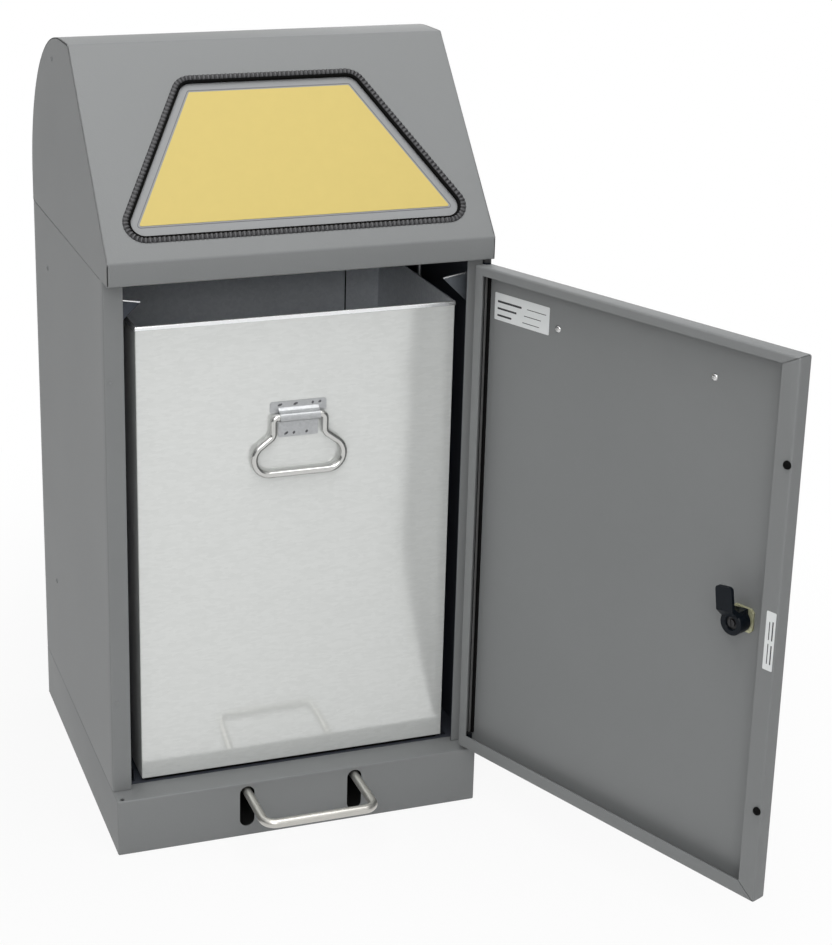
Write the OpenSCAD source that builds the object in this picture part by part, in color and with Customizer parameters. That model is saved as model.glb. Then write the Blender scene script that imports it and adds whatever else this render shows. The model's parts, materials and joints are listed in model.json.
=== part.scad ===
// Pedal-operated sorting bin: a sheet-steel cabinet with a sloping hood, an inlet flap that
// opens inwards, a front door with a quarter-turn lock and a lift-out galvanised container.
// Millimetres. X runs to the right, Y to the back, Z up. The origin is on the floor under the
// middle of the cabinet, and the modules measure Y from the front of the plinth.

/* [Cabinet] */
// Overall width
cab_w = 420; // [400:1:480]
// Overall depth
cab_d = 405; // [400:1:460]
// Height of the plinth
plinth_h = 66; // [62:1:80]
// Height of the body between plinth and hood
body_h = 581; // [560:1:660]
// Thickness of the cabinet sheet
sheet = 1.5; // [1.2:0.1:2]
// How far the body front lies behind the front of plinth and hood
recess = 23; // [22.5:0.5:26]
// Width of the folded stile on each side of the door opening
stile_w = 21; // [18:0.5:24]
// Thickness of the floor pan
pan_t = 1; // [0.8:0.1:1.5]
// How far the floor pan starts behind the front
pan_front = 33.5; // [30:0.5:38]
// Width of the folds that stiffen the panels
fold_w = 12; // [10:0.5:16]

/* [Hood] */
// Height of the upright lip below the slope
lip_h = 24.5; // [20:0.5:32]
// Height of the hood above the seam
hood_h = 218; // [212:0.5:235]
// Slope of the hood front from the vertical, in degrees
slope = 41.9; // [40:0.1:44]
// Radius of the rounded back
back_r = 190; // [160:1:200]
// Depth of the fold under the lip
lip_fold = 36; // [30:1:44]

/* [Inlet] */
// Length of the inlet's lower edge, between its sharp corners, over the trim
inlet_w = 402; // [390:1:406]
// Height of the inlet along the slope, over the trim
inlet_h = 195; // [180:1:200]
// Lower edge of the trim above the fold of the lip, along the slope
inlet_rise = 21; // [18:1:26]
// Lean of the inlet's sides, in degrees
inlet_lean = 27.3; // [26:0.1:29]
// Corner radius over the trim
inlet_r = 23; // [18:1:28]
// Visible width of the rubber trim
trim_w = 8.5; // [7.5:0.5:10]
// Thickness of the trim's legs
trim_t = 1.8; // [1.4:0.1:2.2]

/* [Door] */
// Depth of the door pan
door_t = 18; // [15:0.5:18.5]
// Thickness of the door sheet
door_sheet = 1.2; // [1:0.1:1.3]
// Gap between the door and the plinth below it
door_gap_low = 5; // [4:0.5:7]
// Gap between the door and the hood above it
door_gap_top = 5.5; // [4:0.5:7]
// How far the door edges lie inside the cabinet sides
door_side_gap = 1.5; // [1:0.5:3]
// Width of the folded edge on the lock side
lock_fold = 19.5; // [16:0.5:21]
// Width of the folded edge at the top
top_fold = 10; // [9:0.5:14]
// Width of the folded edge at the bottom
low_fold = 16; // [12:0.5:20]
// Width of the folded edge on the hinge side
hinge_fold = 12; // [11:0.5:14]
// Opening angle as it stands, in degrees
door_open = 112.7; // [90:0.1:150]

/* [Door pivot] */
// Pivot from the side of the cabinet
pivot_side = 6.5; // [6.5:0.1:8]
// Pivot behind the front of the plinth
pivot_back = 5; // [5:0.1:7]
// Radius of the pivot pins
pivot_r = 2.5; // [2:0.1:2.6]
// Wall of the pivot bushes
bush_wall = 1.1; // [0.8:0.1:1.1]

/* [Lock] */
// Lock axis from the free edge of the door
lock_in = 51; // [48:0.5:56]
// Lock axis above the floor
lock_z = 359; // [330:1:390]
// Side of the square lock housing
housing_w = 25.5; // [24:0.5:32]
// Depth of the lock housing behind the door sheet
housing_t = 4.8; // [3.5:0.1:6]
// Radius of the key plug
plug_r = 6.5; // [5:0.1:8]
// Radius of the cam's hub
hub_r = 12.5; // [11:0.1:13]
// Reach of the cam from the lock axis
cam_reach = 40; // [39:0.5:44]
// Width of the cam
cam_w = 19.5; // [16:0.5:24]
// Thickness of the cam
cam_t = 3.7; // [3:0.1:4.5]
// Cam angle as it stands, from the free edge upwards, in degrees
cam_turn = 98; // [93:1:105]

/* [Container] */
// Room on each side between the container and the outside of the cabinet, on average
can_room = 32.5; // [31:0.5:40]
// Depth of the container
can_d = 240; // [200:1:260]
// Gap between the top of the container and the seam above it
can_head = 52.8; // [45:0.1:90]
// Sheet thickness of the container
can_t = 1; // [0.8:0.1:1.4]
// Height of the folded rim
rim_h = 5; // [4:0.5:8]
// Gap between the front of the floor pan and the container
can_gap = 0.5; // [0:0.5:4]
// How far the container stands to the right of the middle
can_side = 3; // [-4:0.5:4]

/* [Handle] */
// Handle pivot below the top of the container
handle_drop = 112.5; // [90:0.5:140]
// Diameter of the bail rod
bail_d = 8; // [6:0.5:8.5]
// Half width of the bail at its neck
bail_neck = 29; // [28:0.5:32]
// Half width of the bail at its widest
bail_half = 50.5; // [48:0.5:56]
// Height of the bail from its pivot to its grip
bail_h = 64; // [62:0.5:72]
// Bend radius of the bail's lower corners
bail_bend = 18; // [14:0.5:19]
// Half length of the handle's barrel
barrel_half = 22.5; // [18:0.5:23]
// Half width of the handle plate
hplate_half = 31.7; // [28:0.1:36]
// Thickness of the handle plate
hplate_t = 1.2; // [1:0.1:1.5]

/* [Flap] */
// Thickness of the flap sheet
flap_t = 1.2; // [1:0.1:1.5]
// Running gap between the trim and the shut flap
flap_gap = 0.4; // [0.3:0.1:0.8]
// Flap shaft above the upper edge of the trim, along the slope
shaft_rise = 9; // [8.5:0.5:11]
// Radius of the flap shaft
shaft_r = 4; // [3.5:0.1:4.5]
// How far the flap swings, in degrees
flap_swing = 60; // [50:1:62]
// Margin of the yellow plate inside the trim, at the sides and the top
label_margin = 10; // [7:0.5:14]
// Margin of the yellow plate above the trim's lower edge
label_low = 13; // [8:0.5:18]

/* [Pedal] */
// Diameter of the pedal rod
pedal_d = 10; // [8:0.5:10]
// Half distance between the legs of the pedal
pedal_half = 63; // [55:0.5:75]
// Distance of the front bar before the plinth
pedal_out = 73; // [60:1:80]
// Height of the pedal above the floor at rest
pedal_z = 55; // [52:0.5:56]
// Pedal shaft behind the front of the plinth
pedal_axis = 100; // [85:1:105]
// Bend radius of the pedal rod
pedal_bend = 13; // [10:1:20]
// How far the pedal turns, in degrees
pedal_turn = 14; // [10:0.5:14]
// How far its lever slopes down at rest, in degrees
lever_drop = 16; // [15:0.5:18]
// Radius of the pedal shaft
pshaft_r = 5; // [4:0.1:5.5]
// Width of the plinth slots
slot_w = 17; // [15:0.5:20]
// Height of the plinth slots
slot_h = 49.5; // [46:0.5:50]

/* [Push rod] */
// Diameter of the push rod
rod_d = 6; // [5:0.1:6]
// Distance of the push rod from the inside of the side panel
rod_in = 15.5; // [14.5:0.1:16]
// Play of the rod's ends in their slots
rod_play = 0.45; // [0.4:0.05:0.6]

/* [Hidden] */
$fn = 64;
running = 0.05;

// Lengths that come from angles are kept to hundredths
function tidy(v) = round(v * 100) / 100;

// Heights and places of the cabinet
seam_z = plinth_h + body_h;
lip_z = seam_z + lip_h;
top_z = seam_z + hood_h;
half_w = cab_w / 2;
inner_half = half_w - sheet;
pan_z = plinth_h + pan_t;

// Door, measured while shut
pivot_x = half_w - pivot_side;
door_half = half_w - door_side_gap;
door_low = plinth_h + door_gap_low;
door_top = seam_z - door_gap_top;
lock_x = -door_half + lock_in;
bush_r = pivot_r + running + bush_wall;
buffer_gap = 0.9;
buffer_t = recess - door_t - buffer_gap;
buffer_zs = [door_low + 102, door_top - 105.5];
plug_in = 107;
plug_zs = [plinth_h + plug_in, seam_z - plug_in];
cam_clear = 2.5;
cam_y = recess + sheet + cam_clear;

// Container
can_foot = 0.2;
can_low = pan_z + can_foot;
can_top = seam_z - can_head;
can_w = cab_w - 2 * can_room;
can_y = pan_front + can_gap;
handle_z = can_top - handle_drop;
bail_r = bail_d / 2;
barrel_wall = 1.2;
barrel_r = bail_r + running + barrel_wall;
barrel_gap = 0.3;
handle_y = can_y - barrel_r - barrel_gap;

// Inlet and flap, in the sloping plane: s along the slope from the lip's fold, depth inwards
shaft_s = inlet_rise + inlet_h + shaft_rise;
flap_face = sheet + trim_t + flap_gap;
strap_t = 2;
shaft_depth = flap_face + flap_t + strap_t + shaft_r;
shaft_y = tidy(shaft_s * sin(slope) + shaft_depth * cos(slope));
shaft_z = tidy(lip_z + shaft_s * cos(slope) - shaft_depth * sin(slope));

// Linkage: the rod stands where both of its arms reach it at the ends of their travel
half_swing = flap_swing / 2;
lever_rise = lever_drop - pedal_turn;
travel_per_lever = tan(lever_drop) - tan(lever_rise);
crank_per_lever = travel_per_lever / (2 * tan(half_swing));
lever_len = tidy((shaft_y - pedal_axis) / (1 - crank_per_lever));
crank_len = tidy(crank_per_lever * lever_len);
rod_y = pedal_axis + lever_len;
rod_r = rod_d / 2;
rod_x = inner_half - rod_in;
rod_low_z = tidy(pedal_z - lever_len * tan(lever_drop));
rod_top_z = tidy(shaft_z - crank_len * tan(half_swing));
arm_t = 3;
arm_gap = 3;
arm_x = rod_x - rod_r - arm_gap - arm_t;
hook_x = arm_x - 2;

// Spring on the push rod, between the collar and the upper guide
guide_zs = [plinth_h + 184, seam_z - 87];
guide_t = 2;
collar_h = 8;
spring_rest = 66;
spring_wire = 1.4;
spring_r = 5.4;
spring_turns = 9;

paint = [0.47, 0.48, 0.475];
zinc = [0.78, 0.79, 0.78];
steel = [0.82, 0.82, 0.80];
black = [0.09, 0.09, 0.1];
yellow = [0.87, 0.79, 0.5];
passivated = [0.68, 0.66, 0.45];
white = [0.93, 0.93, 0.93];

// Placing

// Everything measured from the front of the plinth
module in_place() {
    translate([0, -cab_d / 2, 0])
        children();
}

// The container and its handle stand a little to the side
module on_container() {
    in_place()
        translate([can_side, 0, 0])
            children();
}

// Door parts are drawn with the door shut and then swung open
module on_door() {
    in_place()
        translate([pivot_x, pivot_back, 0])
            rotate([0, 0, door_open])
                translate([-pivot_x, -pivot_back, 0])
                    children();
}

// Lock parts are drawn with the cam towards +X and the lock axis along +Y
module on_lock() {
    on_door()
        translate([lock_x, 0, lock_z])
            rotate([0, 180 + cam_turn, 0])
                children();
}

// The sloping front: X across, Y up the slope, Z outwards, zero on the outer face
module on_slope() {
    in_place()
        translate([0, 0, lip_z])
            rotate([90 - slope, 0, 0])
                children();
}

// A box given by two corners
module box(a, b) {
    translate(a)
        cube(b - a);
}

// A rod along Y or X
module rod_along_y(r, y0, y1) {
    translate([0, y0, 0])
        rotate([-90, 0, 0])
            cylinder(r = r, h = y1 - y0);
}

module rod_along_x(r, x0, x1) {
    translate([x0, 0, 0])
        rotate([0, 90, 0])
            cylinder(r = r, h = x1 - x0);
}

// The same child on the left and on the right
module both_sides() {
    children();
    mirror([1, 0, 0])
        children();
}

// Cabinet

// An upright slot through a sheet that faces Y
module upright_slot(w, h, y0, y1) {
    box([-w / 2, y0, w / 2], [w / 2, y1, h - w / 2]);
    for (z = [w / 2, h - w / 2])
        translate([0, 0, z])
            rod_along_y(w / 2, y0, y1);
}

module plinth() {
    front_fold = pan_front + 12;
    side_fold = 10;
    back_fold = 15;
    slot_low = 12;
    color(paint)
        in_place()
            difference() {
                box([-half_w, 0, 0], [half_w, cab_d, plinth_h]);
                box([-inner_half, sheet, sheet], [inner_half, cab_d - sheet, plinth_h - sheet]);
                box([-half_w + side_fold, front_fold, sheet],
                    [half_w - side_fold, cab_d - back_fold, plinth_h + 1]);
                box([-half_w + fold_w, fold_w, -1], [half_w - fold_w, cab_d - fold_w, sheet + 1]);
                for (x = [-pedal_half, pedal_half])
                    translate([x, 0, slot_low])
                        upright_slot(slot_w, slot_h, -1, sheet + 1);
                for (x = [-pivot_x, pivot_x])
                    translate([x, pivot_back, plinth_h - sheet - 1])
                        cylinder(r = pivot_r, h = sheet + 2);
            }
}

module floor_pan() {
    rod_hole_gap = 3;
    color(paint)
        in_place()
            difference() {
                box([-inner_half, pan_front, plinth_h], [inner_half, cab_d - 2 * sheet, pan_z]);
                translate([rod_x, rod_y, plinth_h - 1])
                    cylinder(r = rod_r + rod_hole_gap, h = pan_t + 2);
            }
}

// Side panel on the left, with the stile and the folds at its back and top
module side_panel() {
    top_fold_in = 14;
    box([-half_w, recess, plinth_h], [-inner_half, cab_d, seam_z]);
    box([-half_w, recess, plinth_h], [-half_w + stile_w, recess + sheet, seam_z]);
    box([-half_w, cab_d - sheet, plinth_h], [-half_w + fold_w, cab_d, seam_z]);
    box([-half_w, recess + top_fold_in, seam_z - sheet], [-half_w + fold_w, cab_d - fold_w, seam_z]);
}

module side_panel_left() {
    color(paint)
        in_place()
            side_panel();
}

module side_panel_right() {
    color(paint)
        in_place()
            mirror([1, 0, 0])
                side_panel();
}

module back_panel() {
    back_y = cab_d - sheet;
    back_fold = 8;
    color(paint)
        in_place() {
            box([-inner_half, back_y - sheet, plinth_h], [inner_half, back_y, seam_z]);
            box([-inner_half, back_y - back_fold, seam_z - sheet], [inner_half, back_y, seam_z]);
        }
}

// Hood

// Section of the hood in Y and Z, moved in by g from the outer face
module hood_section(g) {
    slope_in = g * tan(slope / 2);
    top_in = (top_z - lip_z - g * (1 - sin(slope))) / cos(slope);
    arc_y = cab_d - back_r;
    arc_z = top_z - back_r;
    difference() {
        polygon([
            [g, seam_z],
            [g, lip_z - slope_in],
            [g * cos(slope) + top_in * sin(slope), top_z - g],
            [cab_d - g, top_z - g],
            [cab_d - g, seam_z]
        ]);
        difference() {
            translate([arc_y, arc_z])
                square(back_r);
            translate([arc_y, arc_z])
                circle(r = back_r - g, $fn = 128);
        }
    }
}

// A section in Y and Z stretched along X
module across(x0, x1) {
    translate([x0, 0, 0])
        rotate([90, 0, 90])
            linear_extrude(x1 - x0)
                children();
}

// Corner centres of the inlet and the outward normals of its sides
inlet_top_y = inlet_rise + inlet_h;
inlet_low_c = inlet_w / 2 - inlet_r / tan((90 - inlet_lean) / 2);
inlet_top_c = inlet_w / 2 - inlet_h * tan(inlet_lean) - inlet_r / tan((90 + inlet_lean) / 2);
inlet_cs = [
    [inlet_low_c, inlet_rise + inlet_r],
    [inlet_top_c, inlet_top_y - inlet_r],
    [-inlet_top_c, inlet_top_y - inlet_r],
    [-inlet_low_c, inlet_rise + inlet_r]
];
inlet_ns = [
    [0, -1],
    [cos(inlet_lean), sin(inlet_lean)],
    [0, 1],
    [-cos(inlet_lean), sin(inlet_lean)]
];

// Rounded trapezoid of the inlet in the sloping plane, moved in by g from the trim's outer edge
module inlet_shape(g) {
    r = inlet_r - g;
    polygon([
        for (i = [0:3])
            for (n = [inlet_ns[i], inlet_ns[(i + 1) % 4]])
                inlet_cs[i] + r * n
    ]);
    for (c = inlet_cs)
        translate(c)
            circle(r = r);
}

// The sheet's edge lies inside the trim, short of the trim's web
trim_web = 2;
inlet_edge = trim_w - trim_web;

module inlet_ring(outer, inner, z0, z1) {
    translate([0, 0, z0])
        linear_extrude(z1 - z0)
            difference() {
                inlet_shape(outer);
                inlet_shape(inner);
            }
}

module hood_sheet() {
    color(paint)
        difference() {
            in_place() {
                across(-half_w, half_w)
                    difference() {
                        hood_section(0);
                        hood_section(sheet);
                    }
                box([-inner_half, sheet, seam_z], [inner_half, lip_fold, seam_z + sheet]);
            }
            in_place()
                for (x = [-pivot_x, pivot_x])
                    translate([x, pivot_back, seam_z - 1])
                        cylinder(r = pivot_r, h = sheet + 2);
            on_slope()
                translate([0, 0, -sheet - 1])
                    linear_extrude(sheet + 2)
                        inlet_shape(inlet_edge);
        }
}

module hood_cheek(x0) {
    color(paint)
        in_place()
            across(x0, x0 + sheet)
                hood_section(sheet);
}

module hood_cheek_left() {
    hood_cheek(-half_w);
}

module hood_cheek_right() {
    hood_cheek(inner_half);
}

// U-shaped rubber edging: two legs and the web over the sheet's edge
module inlet_trim() {
    color(black)
        on_slope() {
            inlet_ring(0, trim_w, 0, trim_t);
            inlet_ring(inlet_edge, trim_w, -sheet, 0);
            inlet_ring(1, trim_w, -sheet - trim_t, -sheet);
        }
}

// Gusset on the side panel behind the hood's lip: an upright triangle that points inwards
gusset_w = 41.5;
gusset_drop = 28;
gusset_rise = 7;
gusset_fall = 40;
gusset_t = 1.5;

module corner_gusset() {
    front = lip_fold + 2;
    tip_z = seam_z - gusset_drop;
    translate([0, front + gusset_t, 0])
        rotate([90, 0, 0])
            linear_extrude(gusset_t)
                polygon([
                    [inner_half - gusset_w, tip_z],
                    [inner_half, tip_z - gusset_fall],
                    [inner_half, tip_z + gusset_rise]
                ]);
}

module corner_gusset_left() {
    color(zinc)
        in_place()
            mirror([1, 0, 0])
                corner_gusset();
}

module corner_gusset_right() {
    color(zinc)
        in_place()
            corner_gusset();
}

// Fittings of the cabinet

guide_gap = 1.5;
guide_x = can_w / 2 + abs(can_side) + guide_gap;

module container_guides() {
    angle_t = 1;
    angle_h = 12;
    angle_foot = 6;
    y0 = can_y + 4;
    y1 = can_y + can_d;
    color(zinc)
        in_place()
            both_sides() {
                box([guide_x, y0, pan_z], [guide_x + angle_t, y1, pan_z + angle_h]);
                box([guide_x, y0, pan_z], [guide_x + angle_foot, y1, pan_z + angle_t]);
            }
}

module rear_stop() {
    stop_gap = 1.5;
    stop_h = 60;
    stop_foot = 22;
    stop_lip = 12;
    half = can_w / 2;
    y0 = can_y + can_d + stop_gap;
    z1 = pan_z + stop_h;
    color(zinc)
        in_place() {
            box([-half, y0, pan_z], [half, y0 + sheet, z1]);
            box([-half, y0, pan_z], [half, y0 + stop_foot, pan_z + sheet]);
            box([-half, y0, z1 - sheet], [half, y0 + stop_lip, z1]);
        }
}

// A low domed head that stands on a face, axis along +Z
module dome_head(r, h) {
    sphere_r = (r * r + h * h) / (2 * h);
    intersection() {
        translate([0, 0, h - sphere_r])
            sphere(r = sphere_r);
        cylinder(r = r, h = h);
    }
}

rivet_r = 3;
rivet_h = 1;
rivet_places = [
    [cab_d - 82, seam_z - 63],
    [cab_d - 82, plinth_h + 124],
    [cab_d - 143, seam_z + 190]
];

module side_rivets() {
    color(paint)
        in_place()
            both_sides()
                for (p = rivet_places)
                    translate([half_w, p[0], p[1]])
                        rotate([0, 90, 0])
                            dome_head(rivet_r, rivet_h);
}

plug_x = half_w - 6;
plug_cap_r = 3.5;
plug_cap_t = 0.6;

module stile_plugs() {
    color(paint)
        in_place()
            both_sides()
                for (z = plug_zs)
                    translate([plug_x, recess, z])
                        rotate([90, 0, 0])
                            cylinder(r = plug_cap_r, h = plug_cap_t);
}

// Pivot pin: head inside the fold, shank through it, and journal
pin_head_r = min(pivot_back, pivot_side) - sheet - 0.1;
pin_head_t = 2;

module pivot_pin(journal) {
    translate([0, 0, -pin_head_t - sheet])
        cylinder(r = pin_head_r, h = pin_head_t);
    translate([0, 0, -sheet])
        cylinder(r = pivot_r, h = sheet + journal);
}

pin_reach = 14;
bush_flange = 2;
bush_rim = 1;
washer_gap = 0.1;

module pivot_pin_lower() {
    collar = door_gap_low - bush_flange - washer_gap;
    color(steel)
        in_place()
            translate([pivot_x, pivot_back, plinth_h]) {
                pivot_pin(door_gap_low + pin_reach);
                cylinder(r = bush_r + bush_rim, h = collar);
            }
}

module pivot_pin_upper() {
    collar = door_gap_top - bush_flange - washer_gap;
    color(steel)
        in_place()
            translate([pivot_x, pivot_back, seam_z])
                mirror([0, 0, 1]) {
                    pivot_pin(door_gap_top + pin_reach);
                    cylinder(r = bush_r + bush_rim, h = collar);
                }
}

bearing_t = 7;
bearing_wall = 4;
bearing_flange = 2;

module flap_bearings() {
    color(black)
        in_place()
            both_sides()
                translate([0, shaft_y, shaft_z])
                    difference() {
                        union() {
                            rod_along_x(shaft_r + bearing_wall, inner_half - bearing_t, inner_half);
                            rod_along_x(shaft_r + bearing_wall + 1, inner_half - bearing_flange,
                                inner_half);
                        }
                        rod_along_x(shaft_r + running, inner_half - bearing_t - 1, inner_half - 1);
                    }
}

// Brackets under the floor pan that carry the pedal shaft
bracket_xs = [-pedal_half - 16, arm_x - 14];
bracket_t = 3;
bracket_drop = 9;
bracket_half = 14;
bracket_foot = 9;
bracket_foot_t = 2;

module pedal_brackets() {
    color(zinc)
        in_place()
            for (x = bracket_xs)
                difference() {
                    union() {
                        box([x, pedal_axis - bracket_half, pedal_z - bracket_drop],
                            [x + bracket_t, pedal_axis + bracket_half, plinth_h]);
                        box([x - bracket_foot, pedal_axis - bracket_half, plinth_h - bracket_foot_t],
                            [x + bracket_t, pedal_axis + bracket_half, plinth_h]);
                    }
                    translate([0, pedal_axis, pedal_z])
                        rod_along_x(pshaft_r + running, x - 1, x + bracket_t + 1);
                }
}

module rod_guides() {
    guide_in = rod_x - rod_r - 4;
    guide_half = 10;
    foot_h = 16;
    color(zinc)
        in_place()
            for (z = guide_zs)
                difference() {
                    union() {
                        box([guide_in, rod_y - guide_half, z],
                            [inner_half, rod_y + guide_half, z + guide_t]);
                        box([inner_half - guide_t, rod_y - guide_half, z - foot_h],
                            [inner_half, rod_y + guide_half, z + guide_t]);
                    }
                    translate([rod_x, rod_y, z - 1])
                        cylinder(r = rod_r + running, h = guide_t + 2);
                }
}

// Door

module door_pan() {
    low = door_low;
    top = door_top;
    color(paint)
        on_door()
            difference() {
                box([-door_half, 0, low], [door_half, door_t, top]);
                box([-door_half + door_sheet, door_sheet, low + door_sheet],
                    [door_half - door_sheet, door_t - door_sheet, top - door_sheet]);
                box([-door_half + lock_fold, door_sheet, low + low_fold],
                    [door_half - hinge_fold, door_t + 1, top - top_fold]);
                for (z = [low - 1, top - door_sheet - 1])
                    translate([pivot_x, pivot_back, z])
                        cylinder(r = bush_r, h = door_sheet + 2);
                translate([lock_x, 0, lock_z])
                    rod_along_y(barrel_lock_r, -1, door_sheet + 1);
                for (x = screw_xs)
                    translate([x, 0, screw_z])
                        rod_along_y(screw_r, -1, door_sheet + 1);
                for (z = buffer_zs)
                    translate([-plug_x, 0, z])
                        rod_along_y(buffer_stem_r, door_t - door_sheet - 1, door_t + 1);
            }
}

bush_len = 12;

module door_bush() {
    difference() {
        union() {
            translate([0, 0, -bush_flange])
                cylinder(r = bush_r + bush_rim, h = bush_flange);
            cylinder(r = bush_r, h = bush_len);
        }
        translate([0, 0, -bush_flange - 1])
            cylinder(r = pivot_r + running, h = bush_flange + bush_len + 2);
    }
}

module door_bushes() {
    color(black)
        on_door() {
            translate([pivot_x, pivot_back, door_low])
                door_bush();
            translate([pivot_x, pivot_back, door_top])
                mirror([0, 0, 1])
                    door_bush();
        }
}

// Rubber strip with a ridge, in the corner of the hinge side
module door_seal() {
    seal_x = door_half - door_sheet;
    seal_w = 8;
    seal_t = 2.5;
    ridge_x = seal_x - 4.5;
    ridge_w = 1;
    ridge_h = 5;
    z0 = door_low + bush_len + 2;
    z1 = door_top - bush_len - 2;
    color(black)
        on_door() {
            box([seal_x - seal_w, door_sheet, z0], [seal_x, door_sheet + seal_t, z1]);
            box([ridge_x, door_sheet, z0], [ridge_x + ridge_w, door_sheet + ridge_h, z1]);
        }
}

buffer_r = 4.6;
buffer_stem_r = 2.4;
buffer_barb = 2;

module door_buffers() {
    color(black)
        on_door()
            for (z = buffer_zs)
                translate([-plug_x, door_t, z])
                    rotate([-90, 0, 0]) {
                        dome_head(buffer_r, buffer_t);
                        translate([0, 0, -door_sheet])
                            cylinder(r = buffer_stem_r, h = door_sheet + 0.5);
                        translate([0, 0, -door_sheet - buffer_barb])
                            cylinder(r = buffer_stem_r + 1, h = buffer_barb);
                    }
}

// Through screws near the top of the door
screw_in = 107;
screw_xs = [screw_in - door_half, door_half - screw_in];
screw_z = door_top - 49.5;
screw_r = 2;
screw_head_r = 4;

module door_screws() {
    color(steel)
        on_door()
            for (x = screw_xs)
                translate([x, 0, screw_z]) {
                    rod_along_y(screw_r, 0, door_sheet);
                    translate([0, door_sheet, 0])
                        rotate([-90, 0, 0])
                            difference() {
                                dome_head(screw_head_r, 2.2);
                                translate([0, 0, 1])
                                    cylinder(r = 1.4, h = 2, $fn = 6);
                            }
                    rotate([90, 0, 0])
                        dome_head(screw_head_r, 1.2);
                }
}

// Lock

barrel_lock_r = 9.5;
lock_nose = 1.5;
rosette_r = 14.5;
rosette_t = 1.2;

module lock_housing() {
    half = housing_w / 2;
    color(passivated)
        on_door()
            translate([lock_x, 0, lock_z])
                difference() {
                    union() {
                        box([-half, door_sheet, -half], [half, door_sheet + housing_t, half]);
                        rod_along_y(barrel_lock_r, -lock_nose, door_sheet);
                    }
                    rod_along_y(plug_r + running, -3, door_sheet + housing_t + 1);
                }
}

module lock_rosette() {
    color(steel)
        on_door()
            translate([lock_x, 0, lock_z])
                difference() {
                    rod_along_y(rosette_r, -rosette_t, 0);
                    rod_along_y(barrel_lock_r, -2, 1);
                }
}

cam_gap = 0.6;
hub_y = door_sheet + housing_t + cam_gap;
cam_step = 4.6;
hub_top = cam_y - cam_step;
plug_end = hub_top - 3;
cam_start = 15;

// Key plug: seen from the front as a round face with a key slot
module lock_plug() {
    color(steel)
        on_lock()
            difference() {
                rod_along_y(plug_r, -2, plug_end);
                box([-0.7, -3, -4.5], [0.7, 4, 4.5]);
            }
}

// Cranked cam: a hub on the plug, and a tongue that stands further in and reaches past the edge
module lock_cam() {
    tongue_y = cam_y;
    color(black)
        on_lock()
            difference() {
                union() {
                    rod_along_y(hub_r, hub_y, hub_top);
                    intersection() {
                        translate([0, 0, -cam_w / 2])
                            linear_extrude(cam_w)
                                polygon([
                                    [plug_r, hub_y],
                                    [hub_r, hub_y],
                                    [hub_r, hub_top - 2],
                                    [cam_start + 2.5, tongue_y],
                                    [cam_reach, tongue_y],
                                    [cam_reach, tongue_y + cam_t],
                                    [cam_start, tongue_y + cam_t],
                                    [plug_r, hub_top]
                                ]);
                        union() {
                            rod_along_y(hub_r, 0, tongue_y + cam_t + 1);
                            rotate([-90, 0, 0])
                                linear_extrude(tongue_y + cam_t + 1)
                                    cam_outline();
                        }
                    }
                }
                rod_along_y(plug_r, hub_y - 1, hub_top + 1);
            }
}

// Outline of the cam's tongue with rounded outer corners
module cam_outline() {
    corner = 4;
    half = cam_w / 2;
    polygon([
        [0, -half],
        [cam_reach - corner, -half],
        [cam_reach, -half + corner],
        [cam_reach, half - corner],
        [cam_reach - corner, half],
        [0, half]
    ]);
    for (y = [-half + corner, half - corner])
        translate([cam_reach - corner, y])
            circle(r = corner);
}

module cam_screw() {
    color(steel)
        on_lock()
            translate([0, plug_end, 0])
                rotate([-90, 0, 0])
                    difference() {
                        cylinder(r = 4, h = 2);
                        translate([-5, -0.5, 1])
                            cube([10, 1, 2]);
                    }
}

// Labels, left blank

label_t = 0.3;

module door_label() {
    label_w = 78.5;
    label_h = 30;
    right = pivot_x - 10.7;
    top = door_top - 29.5;
    color(white)
        on_door()
            box([right - label_w, door_sheet, top - label_h], [right, door_sheet + label_t, top]);
}

module edge_label() {
    label_w = 11;
    label_h = 61;
    left = -door_half + 2;
    low = lock_z - 34.5;
    color(white)
        on_door()
            box([left, door_t, low], [left + label_w, door_t + label_t, low + label_h]);
}

// Container

module container_shell() {
    half = can_w / 2;
    color(zinc)
        on_container()
            difference() {
                box([-half, can_y, can_low], [half, can_y + can_d, can_top]);
                box([-half + can_t, can_y + can_t, can_low + can_t],
                    [half - can_t, can_y + can_d - can_t, can_top + 1]);
            }
}

// Edge of the sheet folded over to the outside all round
module container_rim() {
    half = can_w / 2;
    rim_t = 1.3;
    color(zinc)
        on_container()
            difference() {
                box([-half - rim_t, can_y - rim_t, can_top - rim_h],
                    [half + rim_t, can_y + can_d + rim_t, can_top]);
                box([-half, can_y, can_low], [half, can_y + can_d, can_top + 1]);
            }
}

module handle_plate() {
    plate_y = can_y - hplate_t;
    web_half = 3;
    plate_up = 16;
    plate_down = 24;
    color(zinc)
        on_container()
            difference() {
                union() {
                    box([-hplate_half, plate_y, handle_z + web_half],
                        [hplate_half, can_y, handle_z + plate_up]);
                    box([-barrel_half, plate_y, handle_z - plate_down],
                        [barrel_half, can_y, handle_z + web_half + 1]);
                    box([-barrel_half, handle_y, handle_z - web_half],
                        [barrel_half, plate_y, handle_z + web_half]);
                    translate([0, handle_y, handle_z])
                        rod_along_x(barrel_r, -barrel_half, barrel_half);
                }
                translate([0, handle_y, handle_z])
                    rod_along_x(bail_r + running, -barrel_half - 1, barrel_half + 1);
            }
}

handle_rivet_places = [[-20.5, 11], [-1.5, 11], [20.5, 11], [-13, -20.5], [-2, -20.5], [13, -20.5]];

module handle_rivets() {
    color(zinc)
        on_container()
            for (p = handle_rivet_places)
                translate([p[0], can_y - hplate_t, handle_z + p[1]])
                    rotate([90, 0, 0])
                        dome_head(2, 0.8);
}

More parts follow.
